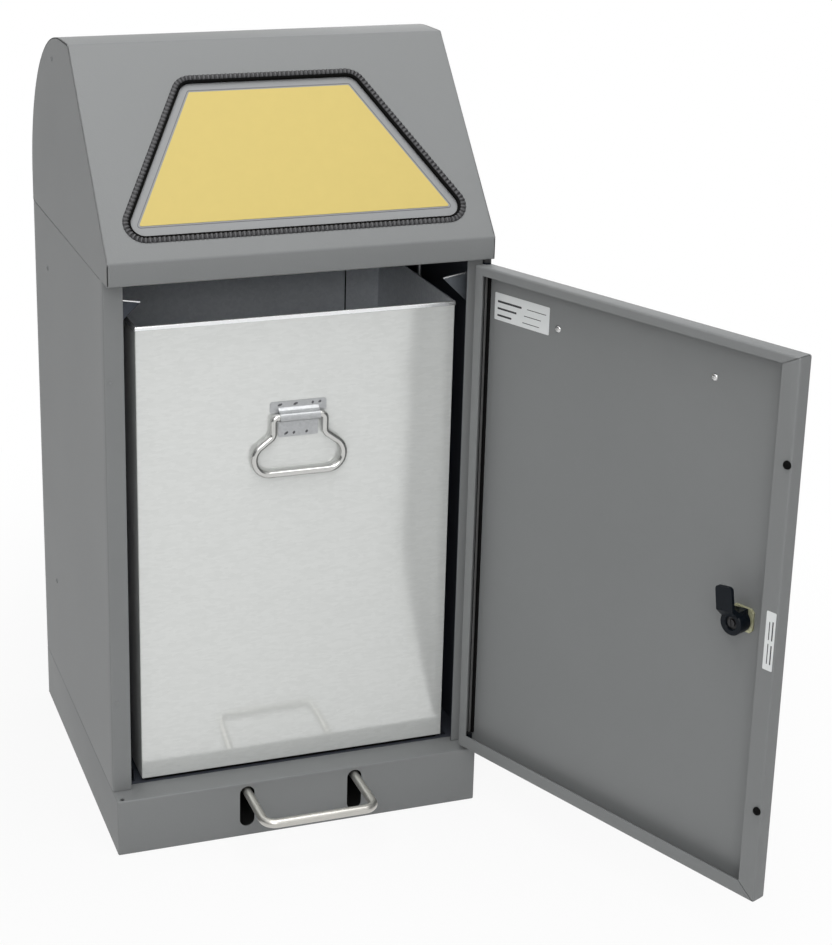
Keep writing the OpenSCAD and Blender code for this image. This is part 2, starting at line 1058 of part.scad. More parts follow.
// A bend of a rod about c, in the plane of X and Z, from angle a over sweep
module bend(c, radius, a, sweep, r) {
    translate([c[0], 0, c[1]])
        rotate([90, 0, 0])
            rotate([0, 0, a])
                rotate_extrude(angle = sweep)
                    translate([radius, 0])
                        circle(r = r);
}

// A straight stretch of rod between two points of the plane of X and Z, let in by lap at its ends
module stretch(p, q, r, lap = 0) {
    d = q - p;
    translate([p[0], 0, p[1]])
        rotate([0, 90 - atan2(d[1], d[0]), 0])
            translate([0, 0, -lap])
                cylinder(r = r, h = norm(d) + 2 * lap);
}

// Right half of the bail about its pivot: bar, neck, shoulder falling three in four, corner, grip
bail_slope = atan2(3, 4);
neck_bend = 5;
knee_bend = 8;
corner_c = [bail_half - bail_bend, bail_bend - bail_h];
corner_end = corner_c + bail_bend * [sin(bail_slope), cos(bail_slope)];
knee_out = knee_bend * (1 - sin(bail_slope));
knee_end_z = corner_end[1] + (corner_end[0] - bail_neck - knee_out) * tan(bail_slope);
knee_c = [bail_neck + knee_bend, knee_end_z + knee_bend * cos(bail_slope)];
knee_end = [bail_neck + knee_out, knee_end_z];

module bail_half_loop() {
    r = bail_r;
    stretch([0, 0], [bail_neck - neck_bend, 0], r);
    bend([bail_neck - neck_bend, -neck_bend], neck_bend, 0, 90, r);
    stretch([bail_neck, -neck_bend], [bail_neck, knee_c[1]], r);
    bend(knee_c, knee_bend, 180, 90 - bail_slope, r);
    stretch(knee_end, corner_end, r, 0.01);
    bend(corner_c, bail_bend, -90, 180 - bail_slope, r);
    stretch([corner_c[0], -bail_h], [0, -bail_h], r);
}

module container_bail() {
    color(steel)
        on_container()
            translate([0, handle_y, handle_z])
                both_sides()
                    bail_half_loop();
}

// Flap

module flap_panel() {
    color(paint)
        on_slope()
            translate([0, 0, -flap_face - flap_t])
                linear_extrude(flap_t)
                    inlet_shape(1);
}

// Yellow plate on the flap, its corners sharp
module flap_label() {
    plate_t = 0.4;
    low = inlet_rise + label_low + trim_w;
    high = inlet_top_y - trim_w - label_margin;
    side = (trim_w + label_margin) / cos(inlet_lean);
    half_at = function (s) inlet_w / 2 - (s - inlet_rise) * tan(inlet_lean) - side;
    color(yellow)
        on_slope()
            translate([0, 0, -flap_face])
                linear_extrude(plate_t)
                    polygon([
                        [-half_at(low), low],
                        [half_at(low), low],
                        [half_at(high), high],
                        [-half_at(high), high]
                    ]);
}

module flap_shaft() {
    color(steel)
        in_place()
            translate([0, shaft_y, shaft_z])
                rod_along_x(shaft_r, -inner_half + 1.5, inner_half - 1.5);
}

// Straps behind the flap that grip the shaft
strap_w = 20;
strap_len = 42;
strap_xs = [-52 - strap_w / 2, 52 - strap_w / 2];

module flap_straps() {
    color(zinc)
        on_slope()
            for (x = strap_xs)
                difference() {
                    union() {
                        box([x, shaft_s - strap_len, -flap_face - flap_t - strap_t],
                            [x + strap_w, shaft_s, -flap_face - flap_t]);
                        translate([0, shaft_s, -shaft_depth])
                            rod_along_x(shaft_r + strap_t, x, x + strap_w);
                    }
                    translate([0, shaft_s, -shaft_depth])
                        rod_along_x(shaft_r, x - 1, x + strap_w + 1);
                    box([x - 1, shaft_s - 12, -flap_face - flap_t],
                        [x + strap_w + 1, shaft_s + 12, 0]);
                }
}

// An arm along +Y in the plane of Y and Z, with a hub and a long hole near its end
module slotted_arm(hub_bore, hub_outer, hole_from, hole_to) {
    hub_len = 6;
    hole_wall = 4;
    hole_half = rod_r + rod_play;
    arm_half = hole_half + hole_wall;
    difference() {
        union() {
            rod_along_x(hub_outer, -hub_len, arm_t);
            box([0, 0, -arm_half], [arm_t, hole_to, arm_half]);
            translate([0, hole_to, 0])
                rod_along_x(arm_half, 0, arm_t);
        }
        rod_along_x(hub_bore, -hub_len - 1, arm_t + 1);
        box([-1, hole_from, -hole_half], [arm_t + 1, hole_to, hole_half]);
        for (y = [hole_from, hole_to])
            translate([0, y, 0])
                rod_along_x(hole_half, -1, arm_t + 1);
    }
}

module flap_crank() {
    color(zinc)
        in_place()
            translate([arm_x, shaft_y, shaft_z])
                rotate([-half_swing, 0, 0])
                    slotted_arm(shaft_r, shaft_r + 3, crank_len, tidy(crank_len / cos(half_swing)));
}

// Pedal

// Bent rod: front bar, two bends and the legs back to the hubs
module pedal_rod() {
    r = pedal_d / 2;
    color(steel)
        in_place()
            translate([0, 0, pedal_z])
                both_sides() {
                    translate([0, -pedal_out, 0])
                        rod_along_x(r, 0, pedal_half - pedal_bend);
                    translate([pedal_half - pedal_bend, -pedal_out + pedal_bend, 0])
                        rotate([0, 0, -90])
                            rotate_extrude(angle = 90)
                                translate([pedal_bend, 0])
                                    circle(r = r);
                    translate([pedal_half, 0, 0])
                        rod_along_y(r, -pedal_out + pedal_bend, pedal_axis - pshaft_r - 1);
                }
}

hub_half = 8;
hub_front = 20;
hub_back = 9;
hub_height = 15;

module pedal_hubs() {
    color(zinc)
        in_place()
            for (x = [-pedal_half, pedal_half])
                translate([x, pedal_axis, pedal_z])
                    difference() {
                        box([-hub_half, -hub_front, -hub_height / 2],
                            [hub_half, hub_back, hub_height / 2]);
                        rod_along_x(pshaft_r, -hub_half - 1, hub_half + 1);
                        rod_along_y(pedal_d / 2, -hub_front - 1, -pshaft_r - 1);
                    }
}

module pedal_shaft() {
    color(zinc)
        in_place()
            translate([0, pedal_axis, pedal_z])
                rod_along_x(pshaft_r, bracket_xs[0] - 5, arm_x + arm_t + 2);
}

module pedal_lever() {
    color(zinc)
        in_place()
            translate([arm_x, pedal_axis, pedal_z])
                rotate([-lever_drop, 0, 0])
                    slotted_arm(pshaft_r, pshaft_r + 3, tidy(lever_len / cos(lever_rise)),
                        tidy(lever_len / cos(lever_drop)));
}

// Push rod: upright, with its two ends bent inwards through the arms
module push_rod() {
    color(zinc)
        in_place()
            translate([rod_x, rod_y, 0]) {
                translate([0, 0, rod_low_z])
                    cylinder(r = rod_r, h = rod_top_z - rod_low_z);
                for (z = [rod_low_z, rod_top_z])
                    translate([0, 0, z]) {
                        sphere(r = rod_r);
                        rod_along_x(rod_r, hook_x - rod_x, 0);
                    }
            }
}

collar_z = guide_zs[1] - spring_rest - collar_h;

module rod_collar() {
    color(steel)
        in_place()
            translate([rod_x, rod_y, collar_z])
                difference() {
                    cylinder(r = rod_r + 4, h = collar_h);
                    translate([0, 0, -1])
                        cylinder(r = rod_r, h = collar_h + 2);
                }
}

// Coil spring round the rod, one tube swept along a helix
module return_spring() {
    z0 = collar_z + collar_h + spring_wire / 2 + 0.05;
    z1 = guide_zs[1] - spring_wire / 2 - 0.05;
    per_turn = 12;
    rings = spring_turns * per_turn;
    sides = 6;
    points = [
        for (i = [0:rings])
            for (j = [0:sides - 1])
                let (
                    a = 360 * i / per_turn,
                    b = 360 * j / sides,
                    out = spring_r + spring_wire / 2 * cos(b)
                )
                [out * cos(a), out * sin(a),
                    z0 + (z1 - z0) * i / rings + spring_wire / 2 * sin(b)]
    ];
    walls = [
        for (i = [0:rings - 1])
            for (j = [0:sides - 1])
                let (
                    a = i * sides + j,
                    b = i * sides + (j + 1) % sides
                )
                each [[a, a + sides, b], [b, a + sides, b + sides]]
    ];
    start = [for (j = [1:sides - 2]) [0, j, j + 1]];
    last = rings * sides;
    end = [for (j = [1:sides - 2]) [last, last + j + 1, last + j]];
    color(steel)
        in_place()
            translate([rod_x, rod_y, 0])
                polyhedron(points, concat(walls, start, end));
}

plinth();
floor_pan();
side_panel_left();
side_panel_right();
back_panel();
hood_sheet();
hood_cheek_left();
hood_cheek_right();
inlet_trim();
corner_gusset_left();
corner_gusset_right();
container_guides();
rear_stop();
side_rivets();
stile_plugs();
pivot_pin_lower();
pivot_pin_upper();
flap_bearings();
pedal_brackets();
rod_guides();
door_pan();
door_bushes();
door_seal();
door_buffers();
door_screws();
lock_housing();
lock_rosette();
door_label();
edge_label();
lock_plug();
lock_cam();
cam_screw();
container_shell();
container_rim();
handle_plate();
handle_rivets();
container_bail();
flap_panel();
flap_label();
flap_shaft();
flap_straps();
flap_crank();
pedal_rod();
pedal_hubs();
pedal_shaft();
pedal_lever();
push_rod();
rod_collar();
return_spring();
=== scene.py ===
# %% [markdown]
# # A recycling bin of folded sheet steel
#
# The bin is a powder-coated cabinet on a plinth. Its hood has a sloping front with an inlet, and
# behind the inlet hangs a flap that a pedal opens. The door stands open, so the galvanised
# container with its folding handle shows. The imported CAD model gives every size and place. This
# notebook adds what a CAD model leaves out: bend radii, ribs, finishes, light and a camera.

# %% Load the frame
import json
import math

import bmesh
import bpy
from mathutils import Matrix, Vector

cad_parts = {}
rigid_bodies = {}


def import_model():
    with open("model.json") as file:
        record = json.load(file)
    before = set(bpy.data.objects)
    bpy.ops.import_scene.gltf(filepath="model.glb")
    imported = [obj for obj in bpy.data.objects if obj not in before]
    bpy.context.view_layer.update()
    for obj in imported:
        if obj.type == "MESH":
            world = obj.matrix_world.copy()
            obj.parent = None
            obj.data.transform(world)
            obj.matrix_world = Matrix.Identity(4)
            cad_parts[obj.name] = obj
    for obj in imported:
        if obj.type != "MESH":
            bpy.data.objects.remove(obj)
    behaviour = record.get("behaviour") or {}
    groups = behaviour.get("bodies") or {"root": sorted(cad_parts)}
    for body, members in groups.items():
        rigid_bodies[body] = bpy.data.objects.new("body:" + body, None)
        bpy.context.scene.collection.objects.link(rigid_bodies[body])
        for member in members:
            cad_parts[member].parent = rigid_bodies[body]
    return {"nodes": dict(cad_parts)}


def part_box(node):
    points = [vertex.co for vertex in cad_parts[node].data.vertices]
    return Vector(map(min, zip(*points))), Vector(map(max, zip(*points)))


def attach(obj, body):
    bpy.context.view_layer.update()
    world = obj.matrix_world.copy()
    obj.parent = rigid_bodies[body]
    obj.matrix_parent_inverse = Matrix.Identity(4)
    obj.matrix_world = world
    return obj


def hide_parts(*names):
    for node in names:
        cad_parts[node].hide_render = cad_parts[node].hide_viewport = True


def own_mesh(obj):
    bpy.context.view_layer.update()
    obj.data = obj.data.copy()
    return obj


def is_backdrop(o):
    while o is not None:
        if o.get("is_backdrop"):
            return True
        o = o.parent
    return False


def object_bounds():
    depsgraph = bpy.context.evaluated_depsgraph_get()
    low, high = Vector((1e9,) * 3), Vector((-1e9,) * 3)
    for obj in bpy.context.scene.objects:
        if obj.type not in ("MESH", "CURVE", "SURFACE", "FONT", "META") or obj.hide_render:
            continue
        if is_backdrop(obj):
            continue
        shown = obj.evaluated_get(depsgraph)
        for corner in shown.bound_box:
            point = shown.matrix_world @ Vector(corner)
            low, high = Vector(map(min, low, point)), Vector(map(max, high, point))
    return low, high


for leftover in list(bpy.data.objects):
    bpy.data.objects.remove(leftover)
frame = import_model()
cad_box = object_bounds()
print("CAD nodes:", len(frame["nodes"]))

# %% [markdown]
# ## Benches to draw on
#
# A joiner doesn't build a door while it hangs open. Each group of pieces is drawn in millimetres
# on its own bench, square to the axes, and one matrix then carries it to its place in the frame.
# The cabinet's bench counts Y from the plinth's front. The door's bench is the door while shut,
# the slope's bench lies in the hood's sloping face with Z outwards, and the lock's bench has the
# cam along X and the key's axis along Y.

# %% Benches
MM = 0.001


def moved(x, y, z):
    """A shift by three lengths."""
    return Matrix.Translation((x, y, z))


def turned(degrees, axis):
    """A turn about one axis of the bench."""
    return Matrix.Rotation(math.radians(degrees), 4, axis)


DEPTH = 405.0
CAN_X = 3.0
HANDLE_Y, HANDLE_Z = 28.45, 481.7
LIP_Z, SLOPE_DEG = 671.5, 41.9
PIN_X, PIN_Y, DOOR_ANGLE = 203.5, 5.0, 112.7
LOCK_X, LOCK_Z, CAM_ANGLE = -157.5, 359.0, 98.0

FRAME = Matrix.Scale(MM, 4)
CABINET = FRAME @ moved(0, -DEPTH / 2, 0)
CONTAINER = CABINET @ moved(CAN_X, 0, 0)
HANDLE = CONTAINER @ moved(0, HANDLE_Y, HANDLE_Z)
SLOPE = CABINET @ moved(0, 0, LIP_Z) @ turned(90 - SLOPE_DEG, "X")
DOOR = CABINET @ moved(PIN_X, PIN_Y, 0) @ turned(DOOR_ANGLE, "Z") @ moved(-PIN_X, -PIN_Y, 0)
LOCK = DOOR @ moved(LOCK_X, 0, LOCK_Z) @ turned(180 + CAM_ANGLE, "Y")
print("the door stands open by", DOOR_ANGLE, "degrees")

# %% [markdown]
# ## The camera
#
# The photograph looks down on the bin from the left, through a lens of about 75 mm. Its frame was
# cut so that the bin sits a little off the lens axis. A small lens shift repeats that, and more of
# it would push the bin out of the frame in the other views.

# %% Camera
camera_data = bpy.data.cameras.new("camera")
camera_data.lens = 75.4582
camera_data.shift_x = 0.12
camera_data.shift_y = -0.14
camera = bpy.data.objects.new("camera", camera_data)
camera.location = (-0.61149, -2.07787, 1.18741)
camera.rotation_euler = [math.radians(a) for a in (72.7482, -0.5441, -17.7886)]
bpy.context.scene.collection.objects.link(camera)
bpy.context.scene.camera = camera
print("camera at", tuple(round(c, 3) for c in camera.location))

# %% [markdown]
# ## Nodes
#
# World, finishes and floor are all node trees. A few helpers write them: one places a node and
# fills or links its inputs, and the others are the steps that come back, such as a mix of two
# colours or a smooth rise from one value to another.


# %% Node helpers
def add_node(tree, kind, inputs=None, **settings):
    """A shader node. Each of its inputs takes a number, a colour or another node's output."""
    node = tree.nodes.new("ShaderNode" + kind)
    for setting, value in settings.items():
        setattr(node, setting, value)
    for key, value in (inputs or {}).items():
        if isinstance(value, bpy.types.NodeSocket):
            tree.links.new(value, node.inputs[key])
        else:
            node.inputs[key].default_value = value
    return node


def maths(tree, operation, *values):
    """A Math node; gives its output."""
    return add_node(tree, "Math", dict(enumerate(values)), operation=operation).outputs[0]


def mix(tree, factor, first, second):
    """A colour between two others; gives the output."""
    sockets = {"Factor": factor, 6: first, 7: second}
    return add_node(tree, "Mix", sockets, data_type="RGBA").outputs[2]


def ramp(tree, value, low, high, bottom=0.0, top=1.0):
    """Rises smoothly from bottom, where the value is low, to top, where it is high."""
    ends = {"From Min": low, "From Max": high, "To Min": bottom, "To Max": top}
    sockets = {"Value": value, **ends}
    return add_node(tree, "MapRange", sockets, interpolation_type="SMOOTHSTEP").outputs["Result"]


def seen_ray(tree):
    """One for rays of the camera, a reflection or a refraction, and nought for the others."""
    rays = add_node(tree, "LightPath").outputs
    direct = maths(tree, "MAXIMUM", rays["Is Camera Ray"], rays["Is Glossy Ray"])
    return maths(tree, "MAXIMUM", direct, rays["Is Transmission Ray"])


# %% [markdown]
# ## Light
#
# A product picture of this kind has no horizon, only white. The world is white where the camera
# or a shiny face looks at it and a plain grey light elsewhere. Shiny rods need something dark to
# mirror, so to them the studio's side walls are dim. Large lamps stand in for soft boxes: the
# strongest hangs overhead, since the hood's slope and the door's upper edge are the brightest
# painted faces. A weak one behind the bin only serves the views from there.

# %% World
WHITE = (1.0, 1.0, 1.0, 1.0)
DIM_WALL = (0.05, 0.055, 0.06, 1.0)
WALL_STARTS, WALL_FULL, WALL_TOP, WALL_GONE = 0.42, 0.7, 0.3, 0.7
AMBIENT = 0.3

world = bpy.data.worlds.new("studio")
bpy.context.scene.world = world
world.use_nodes = True
studio = world.node_tree
studio.nodes.clear()
looking = add_node(studio, "TexCoord").outputs["Generated"]
split = add_node(studio, "SeparateXYZ", {0: looking}).outputs
sideways = ramp(studio, maths(studio, "ABSOLUTE", split["X"]), WALL_STARTS, WALL_FULL)
low_down = maths(studio, "SUBTRACT", 1.0, ramp(studio, split["Z"], WALL_TOP, WALL_GONE))
glossy = add_node(studio, "LightPath").outputs["Is Glossy Ray"]
dimmed = maths(studio, "MULTIPLY", maths(studio, "MULTIPLY", sideways, low_down), glossy)
soft_light = add_node(studio, "Background", {"Color": WHITE, "Strength": AMBIENT})
wall_tone = mix(studio, dimmed, WHITE, DIM_WALL)
walls = add_node(studio, "Background", {"Color": wall_tone, "Strength": 1.0})
shown = {0: seen_ray(studio), 1: soft_light.outputs[0], 2: walls.outputs[0]}
add_node(studio, "OutputWorld", {"Surface": add_node(studio, "MixShader", shown).outputs[0]})
print("world light:", AMBIENT)


# %% Lamps
def soft_box(name, place, target, size, watts):
    """A square lamp at a place, turned to a target, both in metres."""
    data = bpy.data.lights.new(name, "AREA")
    data.shape = "SQUARE"
    data.size = size
    data.energy = watts
    lamp = bpy.data.objects.new(name, data)
    lamp.location = place
    aim = Vector(target) - Vector(place)
    lamp.rotation_euler = aim.to_track_quat("-Z", "Y").to_euler()
    bpy.context.scene.collection.objects.link(lamp)


soft_box("overhead", (0.0, -0.6, 3.4), (0.0, -0.1, 0.4), 2.6, 60)
soft_box("from_left", (-3.2, -1.6, 1.4), (0.0, 0.0, 0.5), 2.4, 4)
soft_box("from_front", (-0.9, -2.7, 2.1), (0.1, -0.1, 0.5), 1.8, 34)
soft_box("from_behind", (1.8, 2.8, 0.9), (0.0, 0.0, 0.5), 1.6, 12)

# %% [markdown]
# ## Finishes
#
# Five surfaces meet here. Powder coat is a satin skin with a fine orange peel. Galvanised sheet
# is dull metal with frost-like patches of zinc. The rods are drawn and plated steel. Rubber and
# plastic are black and nearly matt, and films are thin and even. Grain and patches of tone come
# back in several of them, so each is a node group, built once and placed with its own numbers.

# %% Node groups
SOCKET_KINDS = {0: "NodeSocketFloat", 3: "NodeSocketVector", 4: "NodeSocketColor"}
NOWHERE, EVEN, GREY = (0.0, 0.0, 0.0), (1.0, 1.0, 1.0), (0.2, 0.2, 0.2, 1.0)


def node_group(name, inputs, outputs):
    """An empty group. The default of a socket, a number, vector or colour, tells its kind."""
    group = bpy.data.node_groups.new(name, "ShaderNodeTree")
    for side, sockets in (("INPUT", inputs), ("OUTPUT", outputs)):
        for label, value in sockets.items():
            kind = SOCKET_KINDS[len(value) if isinstance(value, tuple) else 0]
            socket = group.interface.new_socket(label, in_out=side, socket_type=kind)
            socket.default_value = value
    entry, exit_node = group.nodes.new("NodeGroupInput"), group.nodes.new("NodeGroupOutput")
    return group, entry.outputs, exit_node.inputs


def stretched(tree, given):
    """The group's coordinates times its stretch."""
    sockets = {0: given["Vector"], 1: given["Stretch"]}
    return add_node(tree, "VectorMath", sockets, operation="MULTIPLY").outputs[0]


# %% Fine grain and patches of tone
GRAIN, grain_in, grain_out = node_group(
    "fine grain", {"Vector": NOWHERE, "Scale": 700.0, "Detail": 2.0}, {"Height": 0.0}
)
grain_noise = add_node(GRAIN, "TexNoise", {
    "Vector": grain_in["Vector"], "Scale": grain_in["Scale"], "Detail": grain_in["Detail"],
})
GRAIN.links.new(grain_noise.outputs["Fac"], grain_out["Height"])

TONE, tone_in, tone_out = node_group(
    "patches of tone",
    {"Vector": NOWHERE, "Scale": 12.0, "Spread": 0.05, "Dark": GREY, "Light": GREY},
    {"Color": GREY, "Mask": 0.0},
)
tone_noise = add_node(TONE, "TexNoise", {
    "Vector": tone_in["Vector"], "Scale": tone_in["Scale"], "Detail": 4.0, "Roughness": 0.55,
})
centred = maths(TONE, "SUBTRACT", tone_noise.outputs["Fac"], 0.5)
tone_mask = maths(TONE, "MULTIPLY_ADD", centred, tone_in["Spread"], 0.5)
TONE.links.new(mix(TONE, tone_mask, tone_in["Dark"], tone_in["Light"]), tone_out["Color"])
TONE.links.new(tone_mask, tone_out["Mask"])

# %% Zinc spangle and drawn lines
FROST_TO_FLAKE = 2.6
SPANGLE, spangle_in, spangle_out = node_group(
    "zinc spangle",
    {"Vector": NOWHERE, "Stretch": EVEN, "Scale": 90.0, "Contrast": 0.2},
    {"Mask": 0.0, "Height": 0.0},
)
rolled = stretched(SPANGLE, spangle_in)
flakes = add_node(SPANGLE, "TexVoronoi", {"Vector": rolled, "Scale": spangle_in["Scale"]})
frost_scale = maths(SPANGLE, "MULTIPLY", spangle_in["Scale"], FROST_TO_FLAKE)
frost = add_node(SPANGLE, "TexNoise", {
    "Vector": rolled, "Scale": frost_scale, "Detail": 6.0, "Roughness": 0.7,
}).outputs["Fac"]
flake_tone = add_node(SPANGLE, "SeparateColor", {0: flakes.outputs["Color"]}).outputs[0]
off_middle = maths(SPANGLE, "SUBTRACT", maths(SPANGLE, "ADD", flake_tone, frost), 1.0)
spangle_mask = maths(SPANGLE, "MULTIPLY_ADD", off_middle, spangle_in["Contrast"], 0.5)
SPANGLE.links.new(spangle_mask, spangle_out["Mask"])
SPANGLE.links.new(frost, spangle_out["Height"])

LINES, lines_in, lines_out = node_group(
    "drawn lines", {"Vector": NOWHERE, "Stretch": EVEN, "Scale": 400.0}, {"Mask": 0.0}
)
line_noise = add_node(LINES, "TexNoise", {
    "Vector": stretched(LINES, lines_in), "Scale": lines_in["Scale"], "Detail": 3.0,
})
LINES.links.new(line_noise.outputs["Fac"], lines_out["Mask"])
print("node groups:", [g.name for g in bpy.data.node_groups])


# %% What every material does
def new_material(name, **sockets):
    """A material with one Principled BSDF; sockets are plain values set on the shader."""
    material = bpy.data.materials.new(name)
    material.use_nodes = True
    tree = material.node_tree
    for label, value in sockets.items():
        tree.nodes["Principled BSDF"].inputs[label.replace("_", " ")].default_value = value
    return material, tree, add_node(tree, "TexCoord").outputs


def place_group(tree, group, vector, **values):
    """A group fed with coordinates and its own values; gives its outputs."""
    return add_node(tree, "Group", {"Vector": vector, **values}, node_tree=group).outputs


def dress(tree, colour, mask, rough, height, strength, distance):
    """Links colour, roughness and bumps. The mask goes between two roughnesses."""
    ends = {"Value": mask, "To Min": rough[0], "To Max": rough[1]}
    relief = {"Height": height, "Strength": strength, "Distance": distance}
    sockets = tree.nodes["Principled BSDF"].inputs
    tree.links.new(colour, sockets["Base Color"])
    tree.links.new(add_node(tree, "MapRange", ends).outputs["Result"], sockets["Roughness"])
    tree.links.new(add_node(tree, "Bump", relief).outputs["Normal"], sockets["Normal"])


def even_finish(name, dark, light, rough, drift, patches, grain, relief, **sockets):
    """Two close tones in soft patches under a fine grain, for paint, rubber, plastic and film.
    Patches give a scale and a spread, grain a scale and a detail, relief a strength and depth."""
    material, tree, coordinates = new_material(name, **sockets)
    place, (patch_scale, spread), (grain_scale, detail) = coordinates["Object"], patches, grain
    tones = {"Dark": (*dark, 1.0), "Light": (*light, 1.0)}
    tone = place_group(tree, TONE, place, Scale=patch_scale, Spread=spread, **tones)
    bumps = place_group(tree, GRAIN, place, Scale=grain_scale, Detail=detail)
    band = (rough - drift, rough + drift)
    dress(tree, tone["Color"], tone["Mask"], band, bumps["Height"], *relief)
    return material


# %% [markdown]
# ### Powder coat
#
# The paint is one plain mid grey. What tells it from plastic is the orange peel, bumps of about a
# millimetre, under a broad soft gloss. The bumps are a noise height, and the tone drifts by a
# percent or two over a hand's width, as it does where powder lies thicker. Inside, where little
# light falls, the faces get a nearly black copy of the paint: painted shade.


# %% Powder coat
def powder_coat(name, dark, light, rough, peel):
    """Paint between two tones, with an orange peel of a given strength."""
    return even_finish(
        name, dark, light, rough, drift=0.05, patches=(9.0, 0.9), grain=(620.0, 2.0),
        relief=(peel, 0.0004), Specular_IOR_Level=0.38,
    )


PAINT = powder_coat("powder coat grey", (0.203, 0.21, 0.211), (0.223, 0.23, 0.232), 0.5, 0.22)
FLAP_PAINT = powder_coat("flap paint", (0.268, 0.275, 0.28), (0.288, 0.295, 0.3), 0.5, 0.18)
# A nearly black copy of the paint for faces inside the cabinet: painted shade where little light
# falls.
SHADE_PAINTED_COAT = powder_coat(
    "paint with painted shade inside", (0.04, 0.044, 0.055), (0.055, 0.06, 0.075), 0.5, 0.2
)
# Black steel for the lock's plug and cam screw deep in the bore and for the door's pins in the
# hinge gaps: painted shade.
BLACK_SHADE_STEEL = powder_coat("blackened steel", (0.012, 0.012, 0.013), (0.02, 0.02, 0.022), 0.4, 0.2)
print("powder coats:", PAINT.name, "and three more")


# %% [markdown]
# ### Metals
#
# Galvanised sheet is metal with a skin of zinc crystals: a Voronoi pattern gives each crystal its
# own grey, and a noise frosts it. The container's sheet has crystals of a few millimetres that
# hardly differ, and most of what it shows is a dull scatter, not a mirror. Inside, a duller and
# lighter copy paints the light into its shade. A lighter, shinier copy on the hem and on the
# gussets' folds is a painted highlight, and a darker copy in the cabinet's corners is painted
# shade. Plated rods are drawn through a die, so their noise is stretched along the rod, which the
# piece's UV map follows.


# %% Galvanised sheet
def zinc_sheet(name, dark, light, rough, scale, contrast, metallic, stretch=EVEN, dents=0.12):
    """Sheet whose crystals lie between two tones, brighter ones being smoother."""
    material, tree, coordinates = new_material(name, Metallic=metallic)
    pattern = {"Scale": scale, "Contrast": contrast, "Stretch": stretch}
    spangle = place_group(tree, SPANGLE, coordinates["Object"], **pattern)
    tint = mix(tree, spangle["Mask"], (*dark, 1.0), (*light, 1.0))
    band = (rough + 0.06, rough - 0.06)
    dress(tree, tint, spangle["Mask"], band, spangle["Height"], dents, 0.0003)
    return material


GALVANISED = zinc_sheet(
    "galvanised sheet", (0.69, 0.705, 0.69), (0.78, 0.795, 0.78), 0.12, 420.0, 0.5, 0.24,
    stretch=(0.3, 1.0, 1.0), dents=0.02,
)
# A duller, lighter copy for the container's shaded inside: painted light.
DULL_LIGHTENED_ZINC = zinc_sheet(
    "duller inside of the sheet, painted light", (0.72, 0.75, 0.79), (0.85, 0.88, 0.92), 0.5, 300.0, 0.6, 0.05
)
# A dark copy for zinc in the cabinet's shaded corners: painted shade.
SHADE_DARKENED_ZINC = zinc_sheet(
    "zinc, painted shade", (0.02, 0.024, 0.032), (0.05, 0.056, 0.07), 0.35, 120.0, 0.5, 0.6
)
# A lighter, shinier copy for the hem and the gussets' folds: painted highlight.
HIGHLIGHT_ZINC = zinc_sheet(
    "zinc edge, painted highlight", (0.84, 0.85, 0.86), (0.92, 0.93, 0.94), 0.22, 300.0, 0.3, 0.8
)
ZINC = zinc_sheet(
    "zinc-plated sheet", (0.1, 0.112, 0.125), (0.17, 0.185, 0.205), 0.4, 120.0, 0.5, 0.6
)
STAMPED = zinc_sheet(
    "stamped zinc-plated plate", (0.38, 0.39, 0.4), (0.5, 0.51, 0.52), 0.32, 420.0, 0.4, 0.8
)
PASSIVATED = zinc_sheet(
    "yellow-passivated zinc", (0.37, 0.365, 0.21), (0.6, 0.6, 0.41), 0.42, 500.0, 0.8, 0.35
)
WELD = zinc_sheet(
    "spot weld, scorched", (0.06, 0.06, 0.065), (0.16, 0.16, 0.17), 0.5, 900.0, 0.9, 0.5
)
print("zinc finishes:", GALVANISED.name, "and seven more")

# %% Plated rod
ALONG_ROD = (1.0, 0.12, 1.0)


def plated_rod(name, dark, light, rough, along=ALONG_ROD, source="UV"):
    """Plated steel with fine drawn lines; along stretches them in the source's coordinates."""
    material, tree, coordinates = new_material(name, Metallic=1.0)
    drawn = place_group(tree, LINES, coordinates[source], Stretch=along, Scale=900.0)["Mask"]
    tint = mix(tree, drawn, (*dark, 1.0), (*light, 1.0))
    dress(tree, tint, drawn, (rough - 0.05, rough + 0.08), drawn, 0.1, 0.0001)
    return material


BRIGHT_ROD = plated_rod("bright plated rod", (0.46, 0.46, 0.45), (0.63, 0.63, 0.61), 0.11)
SATIN_ROD = plated_rod("satin steel rod", (0.44, 0.43, 0.4), (0.6, 0.585, 0.55), 0.33)
UPRIGHT_ROD = plated_rod("zinc-plated rod", (0.45, 0.46, 0.47), (0.62, 0.63, 0.64), 0.32)
TURNED_PART = plated_rod(
    "turned bright part", (0.5, 0.5, 0.5), (0.72, 0.72, 0.71), 0.24, EVEN, "Object"
)
print("rods:", BRIGHT_ROD.name, "and three more")


# %% [markdown]
# ### Rubber, plastic and films
#
# Black is never a zero: rubber reads as rubber because its faint bloom scatters a little light.
# On the ribbed trim the crests get a paler colour than the grooves, which the ribs' own attribute
# tells the material: a painted glint on the crests, with painted shade in the grooves. The ridge
# of the door's seal is a paler rubber all along, a painted highlight. Moulded plastic is smoother.
# The films on the flap and the door are printed evenly, so they get almost no tone, only the
# slight waviness of a film on paint.


# %% Rubber, plastic and films
def moulded(name, dark, light, rough, grain_scale, depth, **sockets):
    """Rubber, plastic or film between two tones, with a grain of a given scale and depth."""
    return even_finish(
        name, dark, light, rough, drift=0.07, patches=(60.0, 1.2), grain=(grain_scale, 3.0),
        relief=(depth, 0.0002), **sockets,
    )


